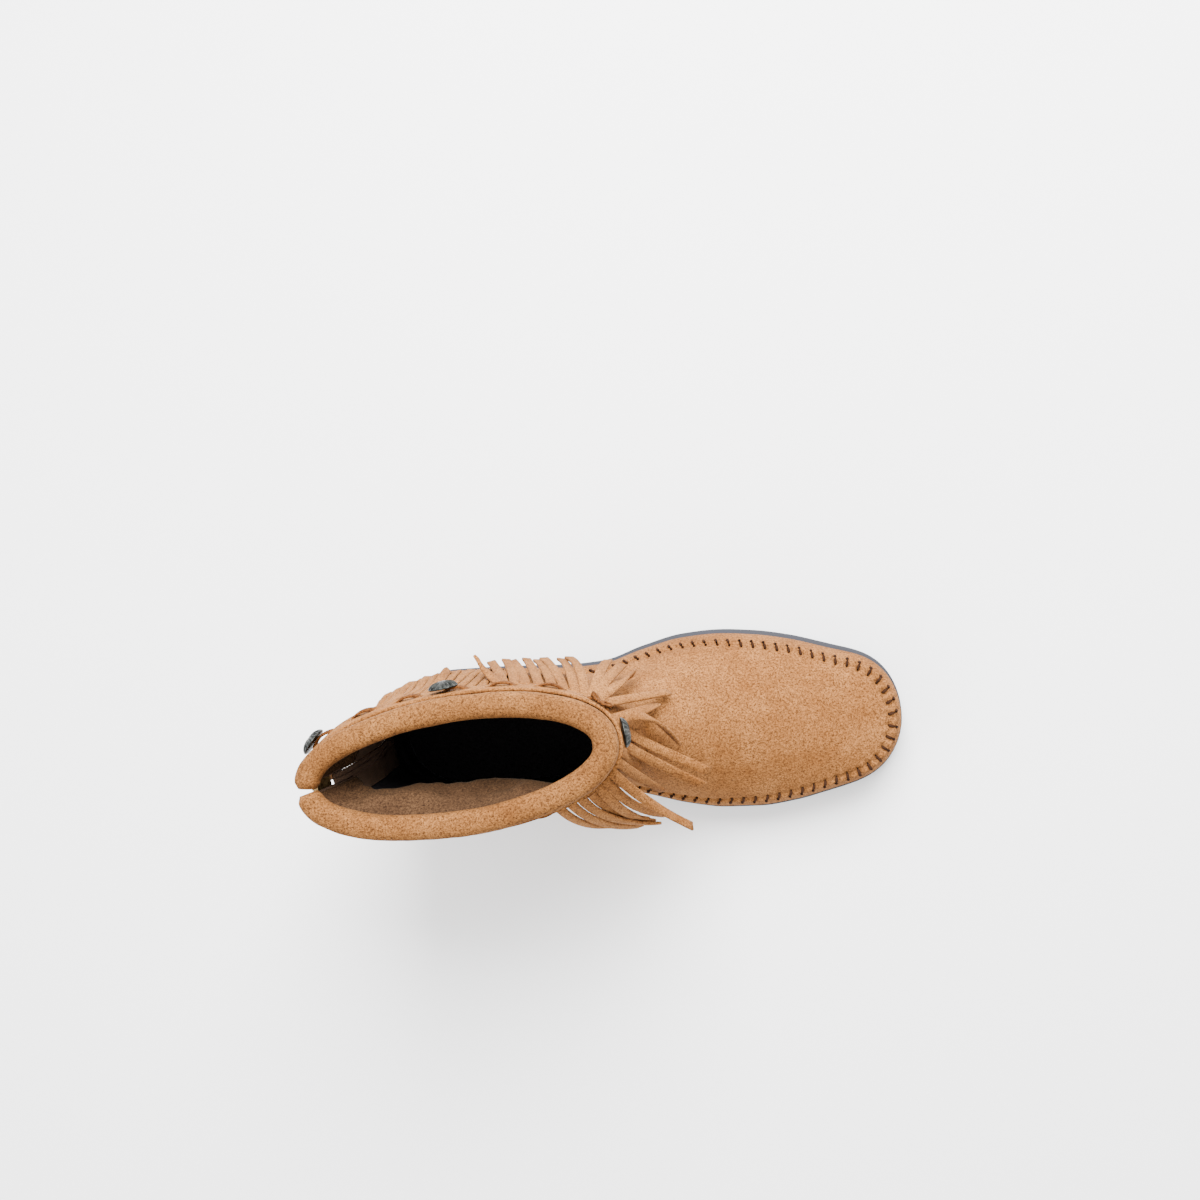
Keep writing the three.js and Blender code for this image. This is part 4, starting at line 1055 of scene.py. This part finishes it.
# %% A map of the shaft
MAP_STEP, RING_STEPS = 1.5, 120
BELT_ROW, BAND_EDGE_ROW = 6, 11
MAP_DEPTHS = np.arange(-1.0, 44.1, MAP_STEP)


def column_of(side, v):
    """Points down the surface from the top edge, at the map's depths."""
    us = np.arange(3.0, 1.6, -0.02)
    line = np.array([skin(side, float(u), v) for u in us])
    run = np.concatenate([[0], np.cumsum(np.linalg.norm(np.diff(line, axis=0), axis=1))])
    slope = (line[0] - line[1]) / np.linalg.norm(line[0] - line[1])
    column = []
    for depth in MAP_DEPTHS:
        if depth <= 0:
            column.append(line[0] - slope * depth)
        else:
            column.append([np.interp(depth, run, line[:, k]) for k in range(3)])
    return column


def there_and_back(steps):
    """From the zip over the outer side to the front, and on over the inner side to the zip."""
    shares = [float(v) for v in np.linspace(0, 1, steps + 1)]
    back = [float(v) for v in np.linspace(1, 0, steps + 1)[1:]]
    return [(1, v) for v in shares] + [(-1, v) for v in back]


ring_stops = there_and_back(RING_STEPS)
shaft_map = np.array([column_of(side, min(v, 0.9999)) for side, v in ring_stops])
belt_line = shaft_map[:, BELT_ROW]
ring_run = np.concatenate([[0], np.cumsum(np.linalg.norm(np.diff(belt_line, axis=0), axis=1))])
ring_length = float(ring_run[-1])
map_across = np.gradient(shaft_map, axis=0)
map_down = np.gradient(shaft_map, axis=1)
map_out = np.cross(map_across, map_down)
map_out /= np.linalg.norm(map_out, axis=2)[:, :, None]
centre_line = shaft_map.mean(axis=(0, 1))
if (map_out[RING_STEPS // 2, BELT_ROW] * (shaft_map[RING_STEPS // 2, BELT_ROW] - centre_line)).sum() < 0:
    map_out = -map_out
print("ring length:", round(ring_length), "mm")


def stop_at(run):
    """The ring's stop, with its fraction, at a distance along the ring."""
    return float(np.interp(run, ring_run, np.arange(len(ring_run))))


def on_shaft(run, depth):
    """Point on the shaft, with the outward, the round and the down directions."""
    i = min(len(ring_run) - 1.001, max(0.0, stop_at(run)))
    j = min(len(MAP_DEPTHS) - 1.001, max(0.0, (depth - MAP_DEPTHS[0]) / MAP_STEP))
    a, b, s, t = int(i), int(j), i - int(i), j - int(j)

    def blend(grid):
        low = grid[a, b] * (1 - s) + grid[a + 1, b] * s
        high = grid[a, b + 1] * (1 - s) + grid[a + 1, b + 1] * s
        return Vector(low * (1 - t) + high * t)

    out = blend(map_out).normalized()
    across = blend(map_across).normalized()
    down = blend(map_down).normalized()
    return blend(shaft_map), out, across, down


def flare_at(run):
    """Outward tilt of the band's lower edge: most at the outer back, none at the front and inside."""
    v = stop_at(run) / RING_STEPS
    return BAND_FLARE * (1 - ease((v - 0.1) / 0.45)) if v < 1 else 0.0


def on_band(run, depth, off):
    """The same as on_shaft, on the tilted band and moved out by off."""
    point, out, across, down = on_shaft(run, depth)
    flare = flare_at(run)
    out_tilted = (out * BAND_DEPTH - down * flare).normalized()
    down_tilted = (down * BAND_DEPTH + out * flare).normalized()
    share = max(0.0, depth - BAND_DROP) / BAND_DEPTH
    return point + out * flare * share + out_tilted * off, out_tilted, across, down_tilted


print("front of the ring:", [round(c, 1) for c in on_shaft(ring_length / 2, 8)[0]])

# %% [markdown]
# ## The collar roll
# The top edge is a strip of suede stitched round a soft foam cord. It is fat and slightly uneven, and
# it stops on both sides of the zip. A fine sweep with a little noise gives the unevenness, and small
# end rings close it softly.


# %% Roll the collar
ROLL_STEPS, ROLL_SIDES, ROLL_SQUARE = 109, 22, 0.8
ROLL_MORE, ROLL_CLOSING = 1.5, 3.5


def build_collar():
    rings, centres = [], []
    for side, v in there_and_back(ROLL_STEPS):
        rim = skin(side, 3, v)
        out = skin_normal(side, 3, min(0.9999, v))
        out.z = 0
        out.normalize()
        centre = rim + out * (ROLL_PROUD - ROLL_WIDTH / 2)
        centre.z += CLEAR + ROLL_HEIGHT / 2
        centres.append((centre, out))
    for end, beside in ((0, 1), (-1, -2)):
        centre, out = centres[end]
        onward = (centre - centres[beside][0]).normalized()
        centres[end] = (centre + onward * ROLL_MORE, out)
    run = 0.0
    total = sum((centres[k][0] - centres[k - 1][0]).length for k in range(1, len(centres)))
    for k, (centre, out) in enumerate(centres):
        run += (centre - centres[k - 1][0]).length if k else 0
        end = min(run, total - run)
        soft = 0.72 + 0.28 * math.sqrt(min(1, end / ROLL_CLOSING))
        ring = []
        for c, s in soft_square(ROLL_SIDES, ROLL_SQUARE):
            p = centre + out * (ROLL_WIDTH / 2 * c * soft)
            p.z += ROLL_HEIGHT / 2 * s * soft
            push = wave_noise(p, 16, 1.3) * 0.45 + wave_noise(p, 5, 4.2) * 0.16
            ring.append(p + (p - centre).normalized() * (push - 0.15))
        rings.append(ring)
    return tube(rings)


collar_points, collar_faces = build_collar()
# the roll's darker suede is painted shade, not a different leather
collar = piece(
    "collar_roll", collar_points, collar_faces, [roll_suede_painted_shade], stands_for=("collar",)
)

# %% [markdown]
# ## The facing
# Inside the collar a strip of the same suede faces the shaft for about 26 mm. Its colour is painted
# far darker than the outside suede, as painted shade for the inside of the shaft. It isn't glued flat:
# on the inner side it leans far in, as in the photograph, and its lower edge is wavy.


# %% Face the shaft
FACING_DEPTH, FACING_THICK = 26, 1.0
FACING_REACH = [
    {"at": at, "reach": reach}
    for at, reach in (
        (0.0, 6), (0.06, 7), (0.12, 5.5), (0.2, 3.4), (0.42, 3.2), (0.5, 3.4), (0.56, 4.5), (0.63, 6.5),
        (0.7, 12), (0.78, 16), (0.86, 17), (0.93, 12), (0.97, 8), (1.0, 6),
    )
]


def build_facing():
    rows = []
    runs = np.linspace(0.6, ring_length - 0.6, 190)
    shares = np.linspace(0, 1, 18)
    for run in runs:
        depth_end = FACING_DEPTH + 3.6 * math.sin(run / 17) + 2.4 * math.sin(run / 7.3 + 1)
        depth_end += 0.7 * math.sin(run / 2.1)
        reach = read(FACING_REACH, "reach", run / ring_length)
        top = 3 + 0.35 * (reach - 3)
        row = []
        for share in shares:
            depth = mix(-0.4, depth_end, share)
            point, out, _, _ = on_shaft(run, depth)
            crease = 3.4 * wave_noise(point, 20, 5.5) + 1.2 * wave_noise(point, 8, 2.2)
            inward = mix(top, reach, share**0.8) + crease * ease(share * 1.6) * min(1, reach / 6)
            row.append((point - out * max(WALL + 0.4, inward), 0))
        rows.append(row)
    points, outer_faces, inner_faces, edge_faces = slab([(rows, False, ())], 0, -FACING_THICK)
    # the facing's dark suede is painted shade
    return piece("collar_facing", points, outer_faces + inner_faces + edge_faces, [facing_suede_painted_shade])


facing = build_facing()

# %% [markdown]
# ## The band
# The band is a strip of suede 15 mm deep under the collar. It has pairs of upright slots, and the
# lace is woven through them. The slots are true holes: the slab leaves those faces out.

# %% Cut the band
BAND_END, BAND_STEP, LACE_MARGIN = 5.5, 0.8, 5
LACE_DEPTH = BAND_DROP + BAND_DEPTH / 2
SLOT_HEIGHT, SLOT_WIDE = 5.0, 1.6
LACE_BAR, LACE_HIDDEN = 13.0, 9.0


def slot_runs():
    """Where the lace goes in and out: pairs of places along the ring."""
    usable = ring_length - 2 * (BAND_END + LACE_MARGIN)
    count = round(usable / (LACE_BAR + LACE_HIDDEN))
    pitch = usable / count
    starts = [BAND_END + LACE_MARGIN + k * pitch for k in range(count)]
    return [(start, start + LACE_BAR) for start in starts]


lace_pairs = slot_runs()


def build_band():
    runs = np.arange(BAND_END, ring_length - BAND_END + 0.01, BAND_STEP)
    depths = np.linspace(BAND_DROP, BAND_DROP + BAND_DEPTH, 16)
    slots = [s for pair in lace_pairs for s in pair]
    left_out = set()
    for i, run in enumerate(runs[:-1]):
        if not any(abs(run + BAND_STEP / 2 - s) < SLOT_WIDE / 2 for s in slots):
            continue
        for j in range(len(depths) - 1):
            if abs((depths[j] + depths[j + 1]) / 2 - LACE_DEPTH) < SLOT_HEIGHT / 2:
                left_out.add((i, j))
    rows = []
    for run in runs:
        pull = min(abs(run - s) for s in slots)
        gape = 0.5 * math.exp(-((pull / 2.2) ** 2))
        row = []
        for depth in depths:
            point, out, _, _ = on_band(run, depth, BAND_CLEAR)
            middle_share = math.exp(-(((depth - LACE_DEPTH) / 3) ** 2))
            row.append((point, gape * middle_share + 0.2 * wave_noise(point, 11, 6.1)))
        rows.append(row)
    points, outer_faces, inner_faces, edge_faces = slab([(rows, False, left_out)], BAND_THICK, 0)
    return points, outer_faces + inner_faces + edge_faces


band_points, band_faces = build_band()
print("band slots:", 2 * len(lace_pairs), "band faces:", len(band_faces))

# %% [markdown]
# ## The fringe
# The strips are cut from the same hide as the band, about 4.4 mm wide. A strip hangs straight down
# from the band until the boot's instep or flank pushes it out. So each strip's line is found by
# sending level rays at the surface of the last, in the upright plane that faces out from its root.
# Then each strip gets its own length, flare, sway and twist, because no two hang alike.

# %% A sheet to hang the strips on
STRIP_ROOT, HANG_STEP, LOWEST = 3, 2.0, 18
hang_rows = spread(1.3, 3, 60)
hang_columns = spread(0, 1, 28)
hang_points, hang_faces = [], []
for u in hang_rows:
    hang_points += [skin(1, u, v) for v in reversed(hang_columns)] + [skin(-1, u, v) for v in hang_columns]
row_size = 2 * len(hang_columns)
for i in range(len(hang_rows) - 1):
    for j in range(row_size - 1):
        a = i * row_size + j
        hang_faces += [(a, a + row_size, a + row_size + 1), (a, a + row_size + 1, a + 1)]
hang_tree = BVHTree.FromPolygons(hang_points, hang_faces)
print("hanging sheet:", len(hang_faces), "triangles")


def hang_line(run, length):
    """Points down from the band's lower edge, with the across direction, every 2 mm of height."""
    root, out, _, _ = on_shaft(run, BAND_DROP + BAND_DEPTH - STRIP_ROOT)
    facing_out = Vector((out.x, out.y, 0)).normalized()
    level = Vector((-facing_out.y, facing_out.x, 0))
    track = []
    z = root.z
    while z > root.z - length - 6 and z > LOWEST:
        hits = []
        for aside in (0, 2.2, -2.2):
            start = Vector((root.x, root.y, z)) + facing_out * 80 + level * aside
            hits.append(hang_tree.ray_cast(start, -facing_out)[0])
        if hits[0] is None:
            if track:
                break
            hits[0] = root
        beside = level if None in hits else (hits[1] - hits[2]).normalized()
        track.append((hits[0], beside))
        z -= HANG_STEP
    return track, facing_out


# %% One strip
STRIP_WIDTH, STRIP_THICK, STRIP_LENGTH, STRIP_LIFT = 4.4, 1.4, 74, 0.4


def strip_frames(run, length, flare, sway, twist):
    """Middle points and directions of one strip, at even steps of its own length."""
    track, facing_out = hang_line(run, length)
    line = np.array([p for p, _ in track])
    beside = np.array([a for _, a in track])
    for _ in range(6):
        line[1:-1] = (line[:-2] + 2 * line[1:-1] + line[2:]) / 4
        beside[1:-1] = (beside[:-2] + 2 * beside[1:-1] + beside[2:]) / 4
    runs = np.concatenate([[0], np.cumsum(np.linalg.norm(np.diff(line, axis=0), axis=1))])
    frames = []
    for s in np.linspace(0, min(length, runs[-1] - 0.1), 30):
        point = Vector([np.interp(s, runs, line[:, k]) for k in range(3)])
        k = min(len(track) - 2, max(1, int(np.interp(s, runs, np.arange(len(runs))))))
        down = Vector(line[k + 1] - line[k - 1]).normalized()
        across = Vector(beside[k]).normalized()
        out = down.cross(across).normalized()
        if out.dot(facing_out) < 0:
            out = -out
        share = s / length
        lift = BAND_CLEAR + 0.1 + STRIP_LIFT * ease((s - STRIP_ROOT) / 11) + flare * share**1.8
        lift += flare_at(run) * (mix(1, 0.1, ease(s / 48)) if s > STRIP_ROOT else 0.8)
        aside = sway * share**2 + 0.5 * math.sin(share * 7 + run) * share
        angle = math.radians(twist) * ease((share - 0.15) / 0.85)
        off = lift + STRIP_THICK / 2 + 0.5 * abs(math.sin(angle)) * STRIP_WIDTH
        middle_point = point + out * off + across * aside
        frames.append((middle_point, across * math.cos(angle) + out * math.sin(angle)))
    return frames


def strip_tube(frames, width=STRIP_WIDTH):
    """A flat strip with slightly rounded edges."""
    rings = []
    for k, (point, across) in enumerate(frames):
        ahead = (frames[min(k + 1, len(frames) - 1)][0] - frames[max(k - 1, 0)][0]).normalized()
        across = (across - ahead * across.dot(ahead)).normalized()
        out = ahead.cross(across)
        w, t = width / 2, STRIP_THICK / 2
        if k == len(frames) - 1:
            w *= 0.97
        corners = [
            (-w + 0.3, -t), (w - 0.3, -t), (w, -t * 0.4), (w, t * 0.4),
            (w - 0.3, t), (-w + 0.3, t), (-w, t * 0.4), (-w, -t * 0.4),
        ]
        rings.append([point + across * a + out * b for a, b in corners])
    return tube(rings)


# %% [markdown]
# ## Strips set one by one
# At the front the strips don't hang straight: the lace's knot pushes them aside, and they fan out
# over the instep as they were laid for the picture, which the straight strips of the CAD don't show.
# Each of these is a smooth line through a root, a middle and a tip in millimetres, pressed out of the
# last where it would dip into it. Eight more, worked out in a loop, carry on along the outer side.

# %% Lay the front strips
INSIDE = Vector((60, 0, 40))
LAID_CLEAR, LAID_WIDTH = 2.0, 4.7


def keep_outside(point):
    """The point, moved off the last if it is too near, and the outward direction there."""
    place, out, _, _ = hang_tree.find_nearest(point)
    if out.dot(place - INSIDE) < 0:
        out = -out
    gap = (point - place).dot(out)
    return (point + out * (LAID_CLEAR - gap) if gap < LAID_CLEAR else point.copy()), out


def laid_strip(root, middle, tip, twist):
    """Middle points and directions of a strip through three places."""
    ends = shaft_map[:, BAND_EDGE_ROW]
    run = float(ring_run[int(np.argmin(np.linalg.norm(ends[:, :2] - np.array(root), axis=1)))])
    hidden = on_band(run, BAND_DROP + BAND_DEPTH - 4, BAND_CLEAR + 0.8)
    start = on_band(run, BAND_DROP + BAND_DEPTH, BAND_CLEAR + 1.2)
    middle, tip = Vector(middle), Vector(tip)
    control = middle * 2 - (start[0] + tip) * 0.5
    line = [
        start[0] * (1 - t) ** 2 + control * (2 * t * (1 - t)) + tip * t**2 for t in np.linspace(0, 1, 26)
    ]
    outs = [start[1]] * len(line)
    for _ in range(4):
        for k in range(1, len(line)):
            line[k], outs[k] = keep_outside(line[k])
        line[1:-1] = [(line[k - 1] + line[k] * 2 + line[k + 1]) / 4 for k in range(1, len(line) - 1)]
    for _ in range(6):
        outs[1:-1] = [(outs[k - 1] + outs[k] + outs[k + 1]).normalized() for k in range(1, len(outs) - 1)]
    frames = [(hidden[0], hidden[2])]
    for k, point in enumerate(line):
        ahead = (line[min(k + 1, len(line) - 1)] - line[max(k - 1, 0)]).normalized()
        across = ahead.cross(outs[k]).normalized()
        if across.dot(frames[-1][1]) < 0 and k == 0:
            frames[0] = (hidden[0], -hidden[2])
        angle = math.radians(twist) * ease((k / (len(line) - 1) - 0.2) / 0.7)
        frames.append((point, across * math.cos(angle) + outs[k] * math.sin(angle)))
    return frames, run


LAID_STRIPS = [
    # root, middle, tip, twist at the tip
    ((89.8, 23.5), (88.1, 31.8, 91), (85.4, 35.2, 54), 4),
    ((90.5, 23.0), (92.5, 29.5, 92), (92.5, 33.0, 56), -12),
    ((92.5, 22.9), (97.0, 26.5, 93), (98.5, 29.0, 58), 70),
    ((94.2, 20.7), (103.3, 19.9, 96), (116.0, 19.7, 64), 10),
    ((102.1, 15.1), (107.6, 14.2, 100), (111.5, 14.9, 74), 35),
    ((101.2, 13.5), (111.0, 11.0, 99), (120.5, -4.2, 71), 78),
    ((101.0, 10.5), (106.9, 0.5, 98), (134.5, -18.4, 69), 6),
    ((100.7, 4.4), (107.3, -6.6, 97), (131.6, -25.2, 67), -8),
    ((100.4, -0.8), (101.6, -7.0, 101), (101.8, -16.7, 74), 50),
    ((99.4, -5.5), (104.6, -16.0, 97), (110.8, -27.7, 64), -10),
    ((97.3, -9.7), (108.2, -26.8, 99), (125.1, -44.1, 69), 85),
    ((94.0, -13.0), (101.0, -29.0, 95), (112.0, -40.0, 60), 8),
    ((90.7, -16.7), (96.9, -32.5, 94), (104.5, -42.4, 60), -8),
    ((86.9, -20.0), (92.1, -32.6, 93), (101.3, -42.2, 58), 8),
    ((82.4, -23.0), (90.3, -35.4, 94), (107.6, -43.9, 61), -6),
    ((77.4, -25.8), (85.3, -37.4, 94), (98.6, -45.2, 60), 10),
    ((72.8, -27.9), (78.4, -38.4, 93), (89.1, -45.6, 57), -8),
    ((48.8, 27.5), (37.5, 34.8, 105), (30.5, 41.6, 97), -60),
]
for k in range(8):
    x, shift = 87.6 - 5.5 * k, 1.6 * math.sin(2.3 * k)
    tip = (x - 21 + shift, 37.2 + 0.4 * math.cos(3.1 * k), 57 - 1.5 * math.sin(1.7 * k))
    LAID_STRIPS.append(((x, 25.5), (x - 9 + 0.5 * shift, 33.9, 92.4), tip, 6 * math.sin(4.1 * k)))

laid_parts, laid_runs = [], []
for root, middle, tip, twist in LAID_STRIPS:
    frames, run = laid_strip(root, middle, tip, twist)
    laid_parts.append(strip_tube(frames, LAID_WIDTH))
    laid_runs.append(run)
set_from, set_to = min(laid_runs), max(laid_runs)
print("strips set by hand:", len(laid_parts), "from", round(set_from), "to", round(set_to), "mm")

# %% Hang the whole fringe
# Beside the zip the outer strips lean away from it, and further on they sway towards the heel.
FRINGE_PITCH, SET_GAP = 5.5, 3
OUTER_SWAY, ZIP_SWAY = 6, 9
ZIP_NEAR, ZIP_FADE = 10, 45
fringe_start = BAND_END + 2.5
fringe_count = int((ring_length - 2 * fringe_start) / FRINGE_PITCH)
fringe_parts = [(band_points, band_faces)] + laid_parts
for k in range(fringe_count + 1):
    run = fringe_start + k * (ring_length - 2 * fringe_start) / fringe_count
    if set_from - SET_GAP < run < set_to + SET_GAP:
        continue
    wander = math.sin(k * 2.4) * 0.5 + math.sin(k * 5.1 + 1) * 0.5
    other = math.sin(k * 3.3 + 0.7)
    length = STRIP_LENGTH * (0.95 + 0.05 * wander + 0.03 * other)
    flare = 0.2 + 0.6 * abs(other)
    past_zip = ease((min(run, ring_length - run) - ZIP_NEAR) / ZIP_FADE)
    outer = run < ring_length / 2
    sway = past_zip * (2.0 * wander + (OUTER_SWAY if outer else 0))
    sway -= (1 - past_zip) * (ZIP_SWAY if outer else 0)
    twist = 14 * other + (40 if k % 7 == 3 else 0)
    fringe_parts.append(strip_tube(strip_frames(run, length, flare, sway, twist)))
fringe_points, fringe_faces = gather(fringe_parts)
piece(
    "fringe_and_band", fringe_points, fringe_faces, [sand_strip], stands_for=("fringe",)
)
print("strips:", len(fringe_parts) - 1)

# %% [markdown]
# ## The lace
# The lace is a flat thong of the same suede, coloured darker all over. Outside it shows as
# short bars between the slots, each bowed out and diving in at both ends. At the front a small knot
# beside the button is shown by two turns of thong. Its loose ends aren't made as pieces of their own.


# %% Weave the lace
THONG_WIDTH, THONG_THICK, KNOT_WIDTH = 3.6, 1.3, 2.6
OUTER_SLACK, INNER_SLACK = 0.6, 0.1


def lace_ring(point, across, out, width=THONG_WIDTH):
    return [
        point + across * (width / 2 * c) + out * (THONG_THICK / 2 * s) for c, s in soft_square(10, 0.6)
    ]


def lace_bar(start, end):
    rings = []
    for share in np.linspace(0, 1, 15):
        run = mix(start - 0.4, end + 0.4, share)
        bow = math.sin(math.pi * share) ** 0.5 if 0 < share < 1 else 0
        slack = OUTER_SLACK if run < ring_length / 2 else INNER_SLACK
        off = mix(0.4, BAND_CLEAR + BAND_THICK + 0.95, bow) + slack * math.sin(math.pi * share)
        point, out, _, down = on_band(run, LACE_DEPTH, off)
        rings.append(lace_ring(point, down, out))
    return tube(rings)


lace_parts = [lace_bar(a, b) for a, b in lace_pairs]
knot_run = ring_length / 2 - 15.5  # on the outer side, just before the front
for turn, depth in enumerate((LACE_DEPTH - 1.6, LACE_DEPTH + 1.9)):
    rings = []
    for a in np.linspace(0, 2 * math.pi, 18):
        along = knot_run + 4.5 * math.cos(a)
        point, out, _, down = on_band(along, depth + 1.6 * math.sin(a + turn), 4.2)
        rings.append(lace_ring(point + out * (1.1 * math.cos(2 * a + turn)), down, out, KNOT_WIDTH))
    lace_parts.append(tube(rings))
lace_points, lace_faces = gather(lace_parts)
piece("woven_lace", lace_points, lace_faces, [lace_suede], stands_for=("lace",))

# %% [markdown]
# ## The buttons
# Each button is a cast dome with radial flutes, darkened, and bright where it rubs. A dome is a few
# rings of points. Its flutes are deepest halfway out and run out before the small smooth boss.


# %% Cast the buttons
FLUTES, FLUTE_DEPTH = 18, 0.6
BUTTON_PROFILE = [
    # share of the radius, share of the height, share of the flutes' depth
    (0.96, 0.0, 0), (1.0, 0.06, 0), (1.0, 0.2, 0.15), (0.97, 0.3, 0.6), (0.9, 0.5, 1.0), (0.8, 0.66, 1.0),
    (0.68, 0.8, 1.0), (0.55, 0.89, 0.95), (0.42, 0.94, 0.8), (0.32, 0.955, 0.4), (0.26, 0.93, 0.0),
    (0.2, 0.97, 0), (0.1, 1.0, 0),
]


def build_button(name, along):
    """A cast dome on the lace, at a share of the way from the zip to the front on the outer side."""
    count = FLUTES * 6
    run = float(np.interp(RING_STEPS * along, np.arange(len(ring_run)), ring_run))
    place, out, _, _ = on_band(run, LACE_DEPTH, BAND_CLEAR + BAND_THICK + LACE_THICK + 2 * CLEAR)
    turn = Vector((0, 0, 1)).rotation_difference(out)
    points, faces = [], []
    for r, h, deep in BUTTON_PROFILE:
        for j in range(count):
            a = 2 * math.pi * j / count
            cut = deep * (0.5 - 0.5 * math.cos(FLUTES * a)) ** 0.8
            x, y = BUTTON_RADIUS * r * math.cos(a), BUTTON_RADIUS * r * math.sin(a)
            local = Vector((x, y, BUTTON_HEIGHT * h - FLUTE_DEPTH * cut))
            local.xy = local.xy * (1 - 0.03 * cut)
            points.append(place + turn @ local)
    rows = len(BUTTON_PROFILE)
    for i in range(rows - 1):
        for j in range(count):
            k = (j + 1) % count
            faces.append([i * count + j, i * count + k, (i + 1) * count + k, (i + 1) * count + j])
    faces.append(list(range(count))[::-1])
    faces.append([(rows - 1) * count + j for j in range(count)])
    return piece(name + "_cast", points, faces, [gunmetal], stands_for=(name,))


for name, along in (("button_front", 0.99), ("button_outer_mid", 0.468), ("button_outer_back", 0.12)):
    build_button(name, along)

# %% [markdown]
# ## The zip
# The zip's tapes, slider and pull keep their CAD shapes and get a twill and an aged brass. The closed
# chain is replaced by real rows of small teeth that mesh along the middle, which is what a zip shows
# close to. Bevels soften the slider's and the pull's edges.


# %% Teeth, tape edges, slider and pull
TOOTH_STEP, TEETH_SUNK = 1.5 / 2 * 1.35, 2.3


def zip_frame(z):
    u = back_place(z)
    base, _, out_side, *_ = section(1, u)
    up = (section(1, min(3, u + 0.03))[0] - section(1, u - 0.03)[0]).normalized()
    across = (out_side - up * up.dot(out_side)).normalized()
    return base, across, up.cross(across).normalized(), up


def build_teeth():
    parts, z, k = [], ZIP_BOTTOM + SLIT_POINT + 0.8, 0
    while z < ZIP_TOP - 0.4:
        base, across, out, up = zip_frame(z)
        side = 1 if k % 2 else -1
        rings = []
        for a, w, t in ((-0.55, 0.5, 0.62), (0.3, 0.62, 0.85), (1.3, 0.5, 0.8), (2.15, 0.42, 0.6)):
            middle_point = base + across * (side * a) - out * TEETH_SUNK
            rings.append([
                middle_point + up * (w * c) + out * (t * s)
                for c, s in ((-1, -1), (1, -1), (1.15, 0), (1, 1), (-1, 1), (-1.15, 0))
            ])
        parts.append(tube(rings))
        z += TOOTH_STEP
        k += 1
    points, faces = gather(parts)
    return piece("zip_teeth", points, faces, [old_brass], stands_for=("zip_chain",)), k


def build_tape_edges():
    """The tapes' thick edges, which run behind the teeth and meet at the middle."""
    parts = []
    heights = np.linspace(ZIP_BOTTOM + SLIT_POINT + 0.6, ZIP_TOP + 0.6, 40)
    for side in (1, -1):
        rings = []
        for z in heights:
            base, across, out, _ = zip_frame(float(z))
            inner_edge, outer_edge = side * 0.12, side * 2.45
            rings.append([
                base + across * a - out * b
                for a, b in ((inner_edge, 3.3), (outer_edge, 3.3), (outer_edge, 3.9), (inner_edge, 3.9))
            ])
        parts.append(tube(rings))
    points, faces = gather(parts)
    return piece("zip_tape_edges", points, faces, [twill])


_, teeth = build_teeth()
build_tape_edges()
print("teeth:", teeth)


def dress_cad(node, finish, bevel=0.0):
    """A CAD node that keeps its shape gets a finish, and softer edges if asked."""
    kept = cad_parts[node]
    kept.data.materials.clear()
    kept.data.materials.append(finish)
    if bevel:
        soften = kept.modifiers.new("soft_edges", "BEVEL")
        soften.width, soften.segments, soften.limit_method = bevel / 1000, 2, "ANGLE"
        soften.angle_limit = math.radians(35)
    return kept


dress_cad("zip_tape_outer", twill)
dress_cad("zip_tape_inner", twill)
dress_cad("zip_slider", old_brass, 0.25)
dress_cad("zip_pull", old_brass, 0.2)
dress_cad("insole", lining)
print("CAD nodes kept: tapes, slider, pull, insole")

# %% Write the sizes and finish
low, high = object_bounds()
for name, a, b in (("low corner", cad_low, low), ("high corner", cad_high, high)):
    print(name, "moved by mm:", [round(1000 * (q - p), 1) for p, q in zip(a, b)])
